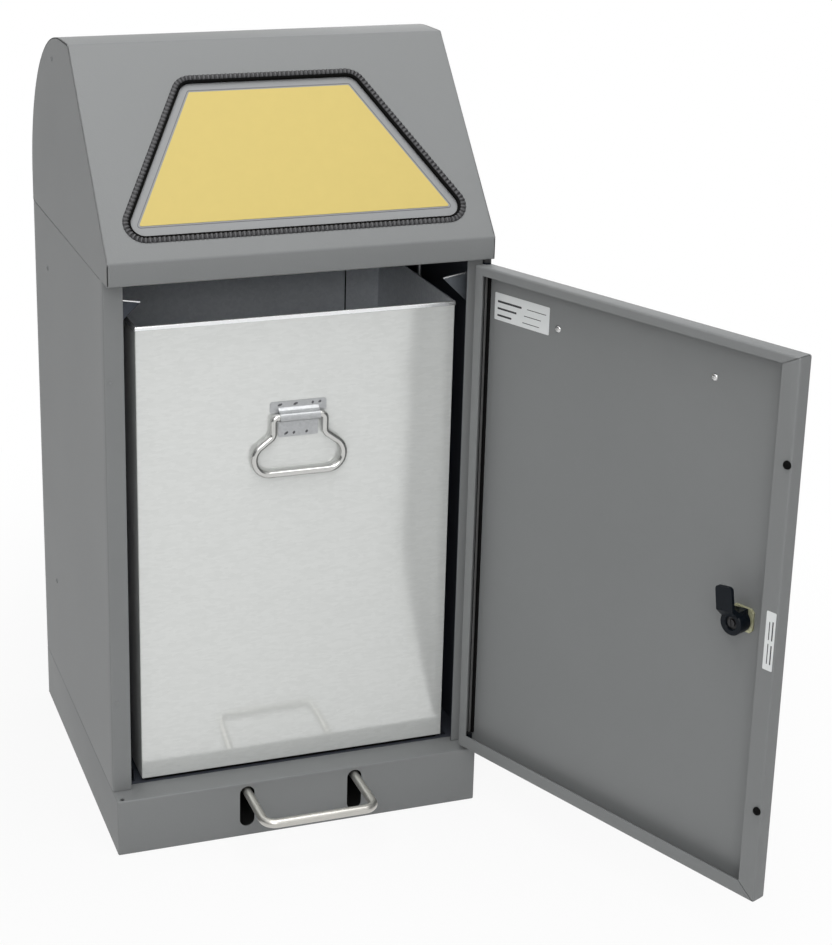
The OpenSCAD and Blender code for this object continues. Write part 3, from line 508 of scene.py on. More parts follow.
RUBBER = moulded(
    "black rubber", (0.006, 0.006, 0.007), (0.016, 0.016, 0.017), 0.3, 1500.0, 0.3,
    Specular_IOR_Level=0.34,
)
# Black rubber; on the container's foot and lap it puts black where shade falls: painted shade.
SOFT_RUBBER_AND_SHADE = moulded(
    "soft black rubber, also painted shade", (0.003, 0.003, 0.003), (0.006, 0.006, 0.006), 0.8, 1500.0, 0.3,
    Specular_IOR_Level=0.06,
)
# A paler rubber for the seal's ridge: painted highlight along its lit edge.
RIDGE_HIGHLIGHT_RUBBER = moulded("paler rubber, painted highlight", (0.09, 0.09, 0.09), (0.13, 0.13, 0.13), 0.5, 1500.0, 0.2)
PLASTIC = moulded(
    "black plastic", (0.003, 0.005, 0.008), (0.006, 0.009, 0.013), 0.3, 1200.0, 0.12,
    Specular_IOR_Level=0.13,
)
YELLOW_FILM = moulded(
    "yellow film", (0.6, 0.475, 0.145), (0.63, 0.5, 0.16), 0.5, 300.0, 0.06,
    Specular_IOR_Level=0.3,
)
WHITE_FILM = moulded("white film", (0.74, 0.76, 0.76), (0.8, 0.82, 0.82), 0.4, 500.0, 0.05)
INK = moulded("dark ink", (0.02, 0.02, 0.024), (0.05, 0.05, 0.055), 0.5, 900.0, 0.1)
BORDER_INK = moulded("film's cut edge", (0.1, 0.1, 0.112), (0.13, 0.13, 0.142), 0.5, 900.0, 0.05)

# %% Painted glints on the rib crests
# The crests take a paler colour from their attribute: painted glints, with painted shade left in
# the grooves.
GLINT_TONE = (0.06, 0.06, 0.064, 1.0)
rubber_tree = RUBBER.node_tree
rubber_base = rubber_tree.nodes["Principled BSDF"].inputs["Base Color"]
rib_painted_glint = add_node(rubber_tree, "Attribute", attribute_name="painted_glint").outputs["Fac"]
with_glints = mix(rubber_tree, rib_painted_glint, rubber_base.links[0].from_socket, GLINT_TONE)
rubber_tree.links.new(with_glints, rubber_base)
print("materials:", len(bpy.data.materials))

# %% [markdown]
# ## Modelling helpers
#
# Most of this bin is bent sheet, and one recipe makes all of it: draw the outer skin, round the
# edges where the press brake bends it, give the skin its wall inwards, punch the holes, and break
# every sharp rim by a few tenths so that it catches the light. Rods, rubber trim and the spring
# follow a second recipe: an outline extruded from station to station along a path.


# %% From a drawing to an object
def outwards(bm):
    """Turns the faces outwards. Fresh faces have no normals yet, so these are worked out first."""
    bm.normal_update()
    bmesh.ops.recalc_face_normals(bm, faces=bm.faces)


def into_scene(name, bm):
    """Puts a drawing into the scene as an object, and ends the drawing."""
    mesh = bpy.data.meshes.new(name)
    bm.to_mesh(mesh)
    bm.free()
    made = bpy.data.objects.new(name, mesh)
    bpy.context.scene.collection.objects.link(made)
    return made


def tool(bm, place, how="DIFFERENCE"):
    """A solid that punches, joins or trims a piece; it goes once the piece is done."""
    bm.transform(place)
    outwards(bm)
    return how, into_scene("tool", bm)


# %% From an object to a finished piece
SHARP = math.radians(38)


def shape_with_modifiers(made, wall, cuts, soft):
    """Gives a piece its wall, holes and soft rims, and keeps what they make as its mesh."""
    if wall:
        solidify = made.modifiers.new("wall", "SOLIDIFY")
        solidify.thickness = wall * MM
        solidify.offset = -1
        solidify.use_even_offset = True
    for how, solid in cuts:
        punch = made.modifiers.new(how, "BOOLEAN")
        punch.operation = how
        punch.solver = "EXACT"
        punch.object = solid
    if soft:
        rim = made.modifiers.new("rims", "BEVEL")
        rim.width = soft * MM
        rim.segments = 2
        rim.limit_method = "ANGLE"
        rim.angle_limit = SHARP
        rim.harden_normals = True
    bpy.context.view_layer.update()
    drawing, seen = made.data, made.evaluated_get(bpy.context.evaluated_depsgraph_get())
    made.data = bpy.data.meshes.new_from_object(seen)
    made.modifiers.clear()
    made.data.name = made.name
    bpy.data.meshes.remove(drawing)
    for how, solid in cuts:
        bpy.data.objects.remove(solid)


def piece(name, bm, place, body, material, replaces=(), wall=0.0, cuts=(), soft=0.3):
    """Carries a drawing to its place, finishes its shape, and hangs it on its body."""
    bm.transform(place)
    made = into_scene(name, bm)
    made.data.polygons.foreach_set("use_smooth", [True] * len(made.data.polygons))
    shape_with_modifiers(made, wall, cuts, soft)
    if not soft:
        made.data.set_sharp_from_angle(angle=SHARP)
    made.data.materials.clear()
    made.data.materials.append(material)
    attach(made, body)
    if replaces:
        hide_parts(*replaces)
    print(f"{name}: {len(made.data.polygons)} faces")
    return made


def tone_inner_faces(made, centre, material):
    """Gives the faces that look towards a centre (mm, in the cabinet's bench) another finish: on
    the side sheets a dark copy, painted shade, and in the container a lighter one, painted light.
    """
    made.data.materials.append(material)
    centre = CABINET @ Vector(centre)
    for polygon in made.data.polygons:
        if (centre - polygon.center).dot(polygon.normal) > 0:
            polygon.material_index = 1


# %% Drawing sheet
def box(low, high):
    """A closed box between two corners."""
    bm = bmesh.new()
    bmesh.ops.create_cube(bm, size=1.0)
    low, high = Vector(low), Vector(high)
    bmesh.ops.scale(bm, vec=high - low, verts=bm.verts)
    bmesh.ops.translate(bm, vec=(low + high) / 2, verts=bm.verts)
    return bm


def face_towards(bm, direction):
    """The face whose middle lies furthest along a direction."""
    return max(bm.faces, key=lambda f: f.calc_center_median().dot(Vector(direction)))


def open_face(bm, direction, low=None, high=None):
    """Takes away the face on one side, or cuts a window in it with corners at low and high."""
    face = face_towards(bm, direction)
    if low is not None:
        bmesh.ops.inset_region(bm, faces=[face], thickness=1.0)
        face = face_towards(bm, direction)
        middle = face.calc_center_median()
        for vert in face.verts:
            for axis in range(3):
                if low[axis] is not None:
                    vert.co[axis] = low[axis] if vert.co[axis] < middle[axis] else high[axis]
    bmesh.ops.delete(bm, geom=[face], context="FACES_ONLY")


def edges_where(bm, test):
    """The edges both of whose ends pass a test."""
    return [e for e in bm.edges if all(test(v.co) for v in e.verts)]


def near(value, target):
    """Whether two measures are the same, but for rounding."""
    return abs(value - target) < 1e-3


def fold_edges(bm, low, high):
    """The edges of the box between two corners, where its faces are bent."""

    def on_planes(co):
        return {(i, c) for i in range(3) for c in (low[i], high[i]) if near(co[i], c)}

    return [e for e in bm.edges if len(on_planes(e.verts[0].co) & on_planes(e.verts[1].co)) >= 2]


def bend_over(bm, edges, radius, segments=4):
    """Rounds edges to the radius of a press brake's tool."""
    bmesh.ops.bevel(
        bm, geom=edges, offset=radius, offset_type="OFFSET", affect="EDGES", segments=segments,
        profile=0.5, material=-1,
    )


def new_verts(geometry):
    """The vertices in what an operator has made."""
    return [g for g in geometry if isinstance(g, bmesh.types.BMVert)]


def add_flange(bm, edges, reach):
    """Extrudes edges by a vector, as a sheet's flange."""
    made = bmesh.ops.extrude_edge_only(bm, edges=edges)["geom"]
    bmesh.ops.translate(bm, vec=reach, verts=new_verts(made))


# %% Drawing outlines and plates
def arc(x, y, radius, start, end, steps):
    """Points of an arc round (x, y), from one angle in degrees to another, ends included."""
    angles = [math.radians(start + (end - start) * i / steps) for i in range(steps + 1)]
    return [(x + radius * math.cos(a), y + radius * math.sin(a)) for a in angles]


def circle_points(radius, count):
    """The outline of a rod."""
    return arc(0.0, 0.0, radius, 0.0, 360.0, count)[:-1]


def softened_rectangle(low, high, radius, steps=4):
    """The outline of a rectangle with round corners; with a single step they are clipped."""
    (x0, y0), (x1, y1) = low, high
    corners = [(x1 - radius, y1 - radius, 0), (x0 + radius, y1 - radius, 90)]
    corners += [(x0 + radius, y0 + radius, 180), (x1 - radius, y0 + radius, 270)]
    return [point for x, y, a in corners for point in arc(x, y, radius, a, a + 90, steps)]


def plate(points, low, high):
    """A flat plate with a given outline in X and Y, between two heights."""
    bm = bmesh.new()
    face = bm.faces.new([bm.verts.new((x, y, low)) for x, y in points])
    made = bmesh.ops.extrude_face_region(bm, geom=[face])["geom"]
    bmesh.ops.translate(bm, vec=(0, 0, high - low), verts=new_verts(made))
    outwards(bm)
    return bm


def join(*drawings):
    """Puts several drawings into one."""
    whole = bmesh.new()
    for bm in drawings:
        mesh = bpy.data.meshes.new("part")
        bm.to_mesh(mesh)
        bm.free()
        whole.from_mesh(mesh)
        bpy.data.meshes.remove(mesh)
    return whole


# %% Drawing round things
def rod_solid(radius, start, end, segments):
    """A closed cylinder between two points."""
    bm = bmesh.new()
    start, end = Vector(start), Vector(end)
    bmesh.ops.create_cone(
        bm, cap_ends=True, segments=segments, radius1=radius, radius2=radius,
        depth=(end - start).length,
    )
    turn = (end - start).to_track_quat("Z", "Y").to_matrix().to_4x4()
    bm.transform(Matrix.Translation((start + end) / 2) @ turn)
    return bm


def hole(place, radius, start, end, segments=20):
    """A punch for a round hole between two points."""
    return tool(rod_solid(radius, start, end, segments), place)


def turned_solid(outline, steps, ring=False):
    """A solid turned about Z from (radius, height) points: a closed ring, or from axis to axis."""
    bm = bmesh.new()
    verts = [bm.verts.new((r, 0, z)) for r, z in outline]
    following = verts[1:] + verts[:1] if ring else verts[1:]
    edges = [bm.edges.new(pair) for pair in zip(verts, following)]
    bmesh.ops.spin(
        bm, geom=verts + edges, axis=(0, 0, 1), cent=(0, 0, 0), angle=2 * math.pi, steps=steps,
        use_merge=True,
    )
    bmesh.ops.remove_doubles(bm, verts=bm.verts, dist=1e-4)
    outwards(bm)
    return bm


# %% Paths
def round_corners(points, radii, step=10.0):
    """A polyline whose corners are replaced by arcs, one radius per inner point."""
    path = [Vector(points[0])]
    for before, corner, after, radius in zip(points, points[1:], points[2:], radii):
        corner = Vector(corner)
        back, on = (Vector(before) - corner).normalized(), (Vector(after) - corner).normalized()
        half = back.angle(on) / 2
        centre = corner + (back + on).normalized() * radius / math.sin(half)
        start = corner + back * radius / math.tan(half) - centre
        end = corner + on * radius / math.tan(half) - centre
        axis = start.cross(end).normalized()
        turn = math.pi - 2 * half
        count = max(2, math.ceil(math.degrees(turn) / step))
        for i in range(count + 1):
            path.append(centre + Matrix.Rotation(turn * i / count, 3, axis) @ start)
    return path + [Vector(points[-1])]


def station(x_axis, y_axis, z_axis, origin):
    """A place on a path: three axes and an origin."""
    place = Matrix((x_axis, y_axis, z_axis)).transposed().to_4x4()
    place.translation = origin
    return place


def stations(path):
    """A matrix at each point of a path, its Z along the path, turned as little as it can."""
    places = []
    across = None
    for i, point in enumerate(path):
        ahead = (path[i + 1] - point).normalized() if i < len(path) - 1 else None
        behind = (point - path[i - 1]).normalized() if i else None
        along = ((ahead or behind) + (behind or ahead)).normalized()
        if across is None:
            across = along.cross(Vector((0, 0, 1))).normalized()
        across = (across - along * across.dot(along)).normalized()
        places.append(station(across, along.cross(across), along, point))
    return places


# %% Sweeping an outline
def running_length(points):
    """The length up to each point of a closed row, in metres, and back to the first."""
    lengths = [0.0]
    for one, two in zip(points, points[1:] + points[:1]):
        lengths.append(lengths[-1] + (two - one).length * MM)
    return lengths


def map_lengthwise(bm, where, around, along):
    """A UV map in metres round the outline and along the path. where gives a vertex's indices."""
    uv = bm.loops.layers.uv.new("along")
    for face in bm.faces:
        marks = [where[loop.vert] for loop in face.loops]
        spans = [max(m[k] for m in marks) - min(m[k] for m in marks) for k in (0, 1)]
        wraps = [span > 1 and len(marks) == 4 for span in spans]
        for loop, (j, i) in zip(face.loops, marks):
            j = len(around) - 1 if wraps[0] and j == 0 else j
            i = len(along) - 1 if wraps[1] and i == 0 else i
            loop[uv].uv = (around[j], along[i])


def sweep(outline_at, places, closed=False, painted_glints=(1.0,)):
    """Extrudes an outline through a row of stations. outline_at(i) gives its (x, y) points at
    station i, and painted_glints repeat along the row as a vertex attribute: paler colour for the
    rib crests, a painted glint."""
    bm = bmesh.new()
    painted_glint = bm.verts.layers.float.new("painted_glint")
    outline = [Vector(p) for p in outline_at(0)]
    verts = [bm.verts.new(places[0] @ Vector((x, y, 0))) for x, y in outline]
    ring = [bm.edges.new(pair) for pair in zip(verts, verts[1:] + verts[:1])]
    first = list(ring)
    where = {vert: (j, 0) for j, vert in enumerate(verts)}
    for i in range(1, len(places)):
        made = bmesh.ops.extrude_edge_only(bm, edges=ring)["geom"]
        fresh = set(new_verts(made))
        neighbours = [[e.other_vert(v) for e in v.link_edges] for v in verts]
        verts = [next(v for v in found if v in fresh) for found in neighbours]
        for j, (vert, (x, y)) in enumerate(zip(verts, outline_at(i))):
            vert.co = places[i] @ Vector((x, y, 0))
            where[vert] = (j, i)
        edges = [g for g in made if isinstance(g, bmesh.types.BMEdge)]
        ring = [e for e in edges if all(v in fresh for v in e.verts)]
    if closed:
        bmesh.ops.bridge_loops(bm, edges=first + ring)
    else:
        bmesh.ops.contextual_create(bm, geom=first)
        bmesh.ops.contextual_create(bm, geom=ring)
    path = [place.translation for place in places]
    map_lengthwise(bm, where, running_length(outline), running_length(path))
    for vert, (j, i) in where.items():
        vert[painted_glint] = painted_glints[i % len(painted_glints)]
    outwards(bm)
    return bm


def round_rod(path, radius, sides, closed=False):
    """A rod along a path. A closed one has the same point at both ends of its path."""
    places = stations(path)[:-1] if closed else stations(path)
    return sweep(lambda i: circle_points(radius, sides), places, closed)


# %% [markdown]
# ## Plinth
#
# The plinth is a low box of bent sheet, open to the floor, with narrow flanges turned in at the
# top and the bottom. The pedal's legs come through two upright slots, and a pin hole in each
# front corner of the top lets the door be hung on either side.

# %% Plinth
HALF_W, PLINTH_H, SHEET, BEND = 210.0, 66.0, 1.5, 1.8
SLOT_X, SLOT_R, SLOT_ENDS, PIN_HOLE_R = 63.0, 8.5, (20.5, 53.0), 2.5
TOP_WINDOW = (-200.0, 45.5, None), (200.0, 390.0, None)
LOW_WINDOW = (-198.0, 12.0, None), (198.0, 393.0, None)
plinth_box = (-HALF_W, 0.0, 0.0), (HALF_W, DEPTH, PLINTH_H)
plinth = box(*plinth_box)
open_face(plinth, (0, 0, 1), *TOP_WINDOW)
open_face(plinth, (0, 0, -1), *LOW_WINDOW)
bend_over(plinth, fold_edges(plinth, *plinth_box), BEND)


def slot_hole(x):
    """The punch of an upright slot in the plinth's front."""
    low_end, high_end = SLOT_ENDS
    outline = arc(x, low_end, SLOT_R, 180, 360, 16) + arc(x, high_end, SLOT_R, 0, 180, 16)
    return tool(plate(outline, -6, 6), CABINET @ turned(90, "X"))


def corner_holes(low, high):
    """Punches for the door's pin in both front corners, between two heights."""
    ends = [((x, PIN_Y, low), (x, PIN_Y, high)) for x in (-PIN_X, PIN_X)]
    return [hole(CABINET, PIN_HOLE_R, start, end) for start, end in ends]


plinth_holes = [slot_hole(-SLOT_X), slot_hole(SLOT_X)] + corner_holes(PLINTH_H - 6, PLINTH_H + 6)
piece("plinth_sheet", plinth, CABINET, "cabinet", PAINT, ["plinth"], SHEET, plinth_holes)

# %% [markdown]
# ## Side panels
#
# Each side is one sheet, bent in at the front to make the stile that the door closes on, and in
# at the back and the top to stiffen it. The top flange stops short of both ends, so the edge is
# first divided there with two cutting planes. The inner faces get a nearly black copy of the
# paint:
# painted shade.

# %% Side panels
SEAM_Z, STILE_Y, STILE_W, SIDE_FLANGE, SIDE_BEND = 647.0, 23.0, 21.0, 12.0, 2.0
FLANGE_FROM, FLANGE_TO = 37.0, 393.0
INSIDE = (0, 200, 350)


def side_panel(side, name, node):
    """A side sheet with its stile and flanges; side is -1 on the left and 1 on the right."""
    bm = bmesh.new()
    x, low = side * HALF_W, PLINTH_H + 0.5
    corners = [(x, STILE_Y, low), (x, DEPTH, low), (x, DEPTH, SEAM_Z), (x, STILE_Y, SEAM_Z)]
    bm.faces.new([bm.verts.new(c) for c in corners])
    for y in (FLANGE_FROM, FLANGE_TO):
        everything = bm.verts[:] + bm.edges[:] + bm.faces[:]
        bmesh.ops.bisect_plane(bm, geom=everything, plane_co=(0, y, 0), plane_no=(0, 1, 0))
    add_flange(bm, edges_where(bm, lambda c: near(c.y, STILE_Y)), (-side * STILE_W, 0, 0))
    add_flange(bm, edges_where(bm, lambda c: near(c.y, DEPTH)), (-side * SIDE_FLANGE, 0, 0))
    on_top = edges_where(
        bm, lambda c: near(c.x, x) and near(c.z, SEAM_Z) and FLANGE_FROM - 1 < c.y < FLANGE_TO + 1
    )
    add_flange(bm, on_top, (-side * SIDE_FLANGE, 0, 0))
    bends = [e for e in edges_where(bm, lambda c: near(c.x, x)) if len(e.link_faces) == 2]
    bend_over(bm, [e for e in bends if e.calc_face_angle(0) > 1.0], SIDE_BEND)
    outwards(bm)
    outer = max(bm.faces, key=lambda f: f.calc_area())
    if outer.normal.x * side < 0:
        bmesh.ops.reverse_faces(bm, faces=bm.faces)
    made = piece(name, bm, CABINET, "cabinet", PAINT, [node], SHEET)
    # Nearly black inner faces: painted shade.
    tone_inner_faces(made, INSIDE, SHADE_PAINTED_COAT)


side_panel(-1, "side_sheet_left", "side_panel_left")
side_panel(1, "side_sheet_right", "side_panel_right")

# %% [markdown]
# ## Hood
#
# The hood is one sheet that runs up the lip, over the slope, along the flat top and down the
# rounded back, with a flat cheek let in on each side. The arc is one vertex spun about its
# centre. The cheeks stand a hair clear of the sheet and of the body below, because on the real
# bin these joints show as fine dark lines.

# %% Section of the hood
ARC_Y, ARC_Z = 215.0, 675.0
TOP_Z = 865.0
top_y = (TOP_Z - LIP_Z) * math.tan(math.radians(SLOPE_DEG))


def hood_section(x):
    """The hood's outline as an open chain of edges from the lip's foot to the back's foot."""
    bm = bmesh.new()
    front = ((0, SEAM_Z), (0, LIP_Z), (top_y, TOP_Z), (ARC_Y, TOP_Z))
    line = [bm.verts.new((x, y, z)) for y, z in front]
    for pair in zip(line, line[1:]):
        bm.edges.new(pair)
    bmesh.ops.spin(
        bm, geom=[line[-1]], axis=(1, 0, 0), cent=(x, ARC_Y, ARC_Z), angle=-math.pi / 2, steps=28,
        use_duplicate=False,
    )
    last = max(bm.verts, key=lambda v: v.co.y)
    foot = bm.verts.new((x, DEPTH, SEAM_Z))
    bm.edges.new((last, foot))
    return bm, line[0], foot


print("the slope ends at y", round(top_y, 2))

# %% Hood sheet and cheeks
LIP_FLANGE, CHEEK_GAP, JOINT = 36.0, 0.2, 0.6
hood = hood_section(-HALF_W)[0]
add_flange(hood, hood.edges[:], (2 * HALF_W, 0, 0))
lip_foot = edges_where(hood, lambda c: near(c.y, 0) and near(c.z, SEAM_Z))
add_flange(hood, lip_foot, (0, LIP_FLANGE, 0))
shared = [e for e in hood.edges if len(e.link_faces) == 2]
bend_over(hood, [e for e in shared if e.calc_face_angle(0) > math.radians(25)], BEND)
outwards(hood)
if face_towards(hood, (0, 0, 1)).normal.z < 0:
    bmesh.ops.reverse_faces(hood, faces=hood.faces)


def cheek(side, name, node):
    """The flat end of the hood, let in between its sheet."""
    bm, front, back = hood_section(side * HALF_W)
    bm.edges.new((front, back))
    whole = bmesh.ops.contextual_create(bm, geom=bm.edges[:])["faces"]
    inset = SHEET + CHEEK_GAP
    bmesh.ops.inset_region(bm, faces=whole, thickness=inset, use_even_offset=True)
    bmesh.ops.delete(bm, geom=[f for f in bm.faces if f not in whole], context="FACES")
    for vert in bm.verts:
        if vert.co.z < SEAM_Z + 4:
            vert.co.z = SEAM_Z + JOINT
    if whole[0].normal.x * side < 0:
        bmesh.ops.reverse_faces(bm, faces=whole)
    piece(name, bm, CABINET, "cabinet", PAINT, [node], SHEET)


cheek(-1, "cheek_left", "hood_cheek_left")
cheek(1, "cheek_right", "hood_cheek_right")

# %% [markdown]
# The inlet is a trapezoid with round corners. Each corner is known by its centre, and the four
# sides by the direction that they face, so the same outline can be drawn further in or out: for
# the hole in the sheet, the trim's two legs and the flap's film.

# %% Outline of the inlet
INLET_W, INLET_H, INLET_RISE, LEAN, CORNER_R = 402.0, 195.0, 21.0, 27.3, 23.0
INLET_FACING = [-90.0, LEAN, 90.0, 180.0 - LEAN, 270.0]
HOLE_IN = 6.5


def trapezoid(margin, low, high, radius):
    """Corner centres of the inlet's form, moved in at the sides, the bottom and the top."""
    centres = []
    lean = math.radians(LEAN)
    for s in (INLET_RISE + low + radius, INLET_RISE + INLET_H - high - radius):
        half = INLET_W / 2 - (s - INLET_RISE) * math.tan(lean) - (margin + radius) / math.cos(lean)
        centres += [Vector((half, s)), Vector((-half, s))]
    return [centres[0], centres[2], centres[3], centres[1]]


def ring_points(centres, facing, radius, pitch):
    """(point, direction outwards) pairs round a form with round corners, about a pitch apart."""
    found = []
    for i, centre in enumerate(centres):
        start, end = facing[i], facing[i + 1]
        count = max(4, round(math.radians(end - start) * radius / pitch))
        for k in range(count + 1):
            a = math.radians(start + (end - start) * k / count)
            out = Vector((math.cos(a), math.sin(a)))
            found.append((centre + radius * out, out))
        following = centres[(i + 1) % len(centres)] + radius * out
        base = found[-1][0]
        count = max(1, round((following - base).length / pitch))
        found += [(base.lerp(following, k / count), out) for k in range(1, count)]
    return found


def ring_places(points, height=0.0):
    """Stations round such a form, X inwards and Y upwards."""
    up = Vector((0, 0, 1))
    places = []
    for point, out in points:
        inwards = Vector((-out.x, -out.y, 0))
        places.append(station(inwards, up, inwards.cross(up), (point.x, point.y, height)))
    return places


def inlet_points(pitch):
    """The edge of the inlet over its trim."""
    return ring_points(trapezoid(0, 0, 0, CORNER_R), INLET_FACING, CORNER_R, pitch)


inlet_outline = [tuple(point - HOLE_IN * out) for point, out in inlet_points(3.0)]
hood_holes = [tool(plate(inlet_outline, -8, 8), SLOPE)] + corner_holes(SEAM_Z - 7, SEAM_Z + 7)
piece("hood_wrap", hood, CABINET, "cabinet", PAINT, ["hood_sheet"], SHEET, hood_holes)

# %% [markdown]
# ## Rubber trim of the inlet
#
# The edge trim is pushed over the sheet. Its outer leg has rounded cross ribs, five millimetres
# apart, that glint along the lower edge, and inside it runs a soft black lip. The leg's section
# is extruded round the inlet with eight stations to a rib and rises and falls with them, and the
# lip's section in longer steps.

# %% Trim
TRIM_W, TRIM_T, LEG_W, RIB_STEP, LIP_STEP = 8.5, 1.8, 5.9, 0.62, 3.0
RIB_DEPTHS = (0.0, 0.0, 0.1, 0.5, 0.95, 0.95, 0.5, 0.1)
# Paler colour on the rib crests: painted glints.
RIB_PAINTED_GLINTS = (1.0, 1.0, 0.8, 0.3, 0.0, 0.0, 0.3, 0.8)


def leg_section(depth):
    """The ribbed leg as (inwards, outwards from the sheet) points."""
    crown = TRIM_T - depth
    near_side = [(0.0, 0.02), (0.0, crown - 0.75), (0.6, crown - 0.2), (1.8, crown)]
    return near_side + [(4.2, crown), (5.3, crown - 0.2), (LEG_W, crown - 0.75), (LEG_W, 0.02)]


sections = [leg_section(depth) for depth in RIB_DEPTHS]
rib_places = ring_places(inlet_points(RIB_STEP))
ribs = sweep(lambda i: sections[i % len(sections)], rib_places, True, RIB_PAINTED_GLINTS)
piece("inlet_ribs", ribs, SLOPE, "cabinet", RUBBER, ["inlet_trim"], soft=0)
UNDER = -SHEET - TRIM_T
LIP = [(LEG_W, 0.02), (LEG_W, 0.8), (6.4, 1.1), (7.2, 0.9), (8.0, 0.3), (TRIM_W, -0.6)]
LIP += [(TRIM_W, UNDER + 0.8), (TRIM_W - 0.8, UNDER), (1.0, UNDER), (1.0, -SHEET)]
LIP += [(HOLE_IN, -SHEET), (HOLE_IN, 0.02)]
lip = sweep(lambda i: LIP, ring_places(inlet_points(LIP_STEP)), closed=True)
piece("inlet_lip", lip, SLOPE, "cabinet", SOFT_RUBBER_AND_SHADE, soft=0)

# %% [markdown]
# ## Yellow film on the flap
#
# The flap is painted a shade lighter than the cabinet and carries a plain yellow film with a
# margin of paint all round. A clear border reaches a little past the colour, and its cut edge
# shows as a thin grey line.

# %% Yellow film
LABEL_MARGIN, LABEL_LOW = TRIM_W + 10.0, TRIM_W + 13.0
FILM_R, EDGE_OUT, EDGE_R, EDGE_W, FILM_PITCH = 1.6, 2.4, 3.4, 0.9, 40.0
FLAP_FACE = -3.7


def film_ring(margin, low, radius):
    """The film's outline, moved in from the inlet by two margins."""
    corners = trapezoid(margin, low, margin, radius)
    return ring_points(corners, INLET_FACING, radius, FILM_PITCH)


film_outline = [tuple(point) for point, out in film_ring(LABEL_MARGIN, LABEL_LOW, FILM_R)]
film = plate(film_outline, FLAP_FACE, FLAP_FACE + 0.4)
piece("flap_film", film, SLOPE, "flap", YELLOW_FILM, ["flap_label"], soft=0)
EDGE = [(0.0, FLAP_FACE), (0.0, FLAP_FACE + 0.15)]
EDGE += [(EDGE_W, FLAP_FACE + 0.15), (EDGE_W, FLAP_FACE)]
edge_ring = film_ring(LABEL_MARGIN - EDGE_OUT, LABEL_LOW - EDGE_OUT, EDGE_R)
cut_edge = sweep(lambda i: EDGE, ring_places(edge_ring), closed=True)
piece("flap_film_edge", cut_edge, SLOPE, "flap", BORDER_INK, soft=0)

# %% [markdown]
# ## Door
#
# The door is a shallow tray: a sheet bent back on all four sides and bent in again to a lip. The
# lip is widest on the lock side, where the rubber buffers and the small label sit. Its two lock
# side corners are mitred, which shows as a fine slit. The tray is a box with a window in its
# inner face, and the slits and the holes of bushes, screws, buffers and lock are cut from it.

# %% Door tray
DOOR_HALF, DOOR_LOW, DOOR_TOP, DOOR_T, DOOR_SHEET = 208.5, 71.0, 641.5, 18.0, 1.2
LOCK_LIP, PIN_LIP, LOW_LIP, TOP_LIP, DOOR_BEND = 19.5, 12.0, 16.0, 10.0, 2.5
door_box = (-DOOR_HALF, 0.0, DOOR_LOW), (DOOR_HALF, DOOR_T, DOOR_TOP)
window_low = (-DOOR_HALF + LOCK_LIP, None, DOOR_LOW + LOW_LIP)
window_high = (DOOR_HALF - PIN_LIP, None, DOOR_TOP - TOP_LIP)
tray = box(*door_box)
open_face(tray, (0, 1, 0), window_low, window_high)
bend_over(tray, fold_edges(tray, *door_box), DOOR_BEND, 5)

# %% Holes of the door
BUSH_R, NOSE_R, SCREW_R, STEM_R = 3.65, 9.5, 2.0, 2.4
SCREW_X, SCREW_Z = 101.5, 592.0
BUFFER_X, BUFFER_ZS = -204.0, (173.0, 536.0)
tray_cuts = [
    hole(DOOR, BUSH_R, (PIN_X, PIN_Y, z - 4), (PIN_X, PIN_Y, z + 4), 24)
    for z in (DOOR_LOW, DOOR_TOP)
]
tray_cuts.append(hole(DOOR, NOSE_R, (LOCK_X, -3, LOCK_Z), (LOCK_X, 4, LOCK_Z), 40))
for x in (-SCREW_X, SCREW_X):
    tray_cuts.append(hole(DOOR, SCREW_R, (x, -3, SCREW_Z), (x, 4, SCREW_Z), 16))
for z in BUFFER_ZS:
    tray_cuts.append(hole(DOOR, STEM_R, (BUFFER_X, DOOR_T - 4, z), (BUFFER_X, DOOR_T + 2, z), 16))
print("holes of the door:", len(tray_cuts))

# %% Mitred corners of the door
MITRE, LIP_DEEP, FOLD_DEEP, FOLD_REACH = 1.0, 1.1, 3.0, 2.1
for inner_z, outer_z in ((DOOR_TOP - TOP_LIP, DOOR_TOP), (DOOR_LOW + LOW_LIP, DOOR_LOW)):
    inner, outer = Vector((-DOOR_HALF + LOCK_LIP, inner_z)), Vector((-DOOR_HALF, outer_z))
    along = (outer - inner).normalized()
    across = Vector((-along.y, along.x)) * MITRE / 2
    through_lip = (inner - along, outer + along, DOOR_T - LIP_DEEP)
    into_fold = (outer - FOLD_REACH * along, outer + along, FOLD_DEEP)
    for start, end, deep in (through_lip, into_fold):
        slit = [tuple(p) for p in (start + across, start - across, end - across, end + across)]
        tray_cuts.append(tool(plate(slit, -DOOR_T - 1, -deep), DOOR @ turned(90, "X")))
piece("door_tray", tray, DOOR, "door", PAINT, ["door_pan"], DOOR_SHEET, tray_cuts)

# %% [markdown]
# The buffers are turned shapes: a low dome with a rolled edge, and a stem that holds it in its
# hole. The sealing strip and the ridge along its middle keep one profile over their length, so
# each is one outline, extruded.

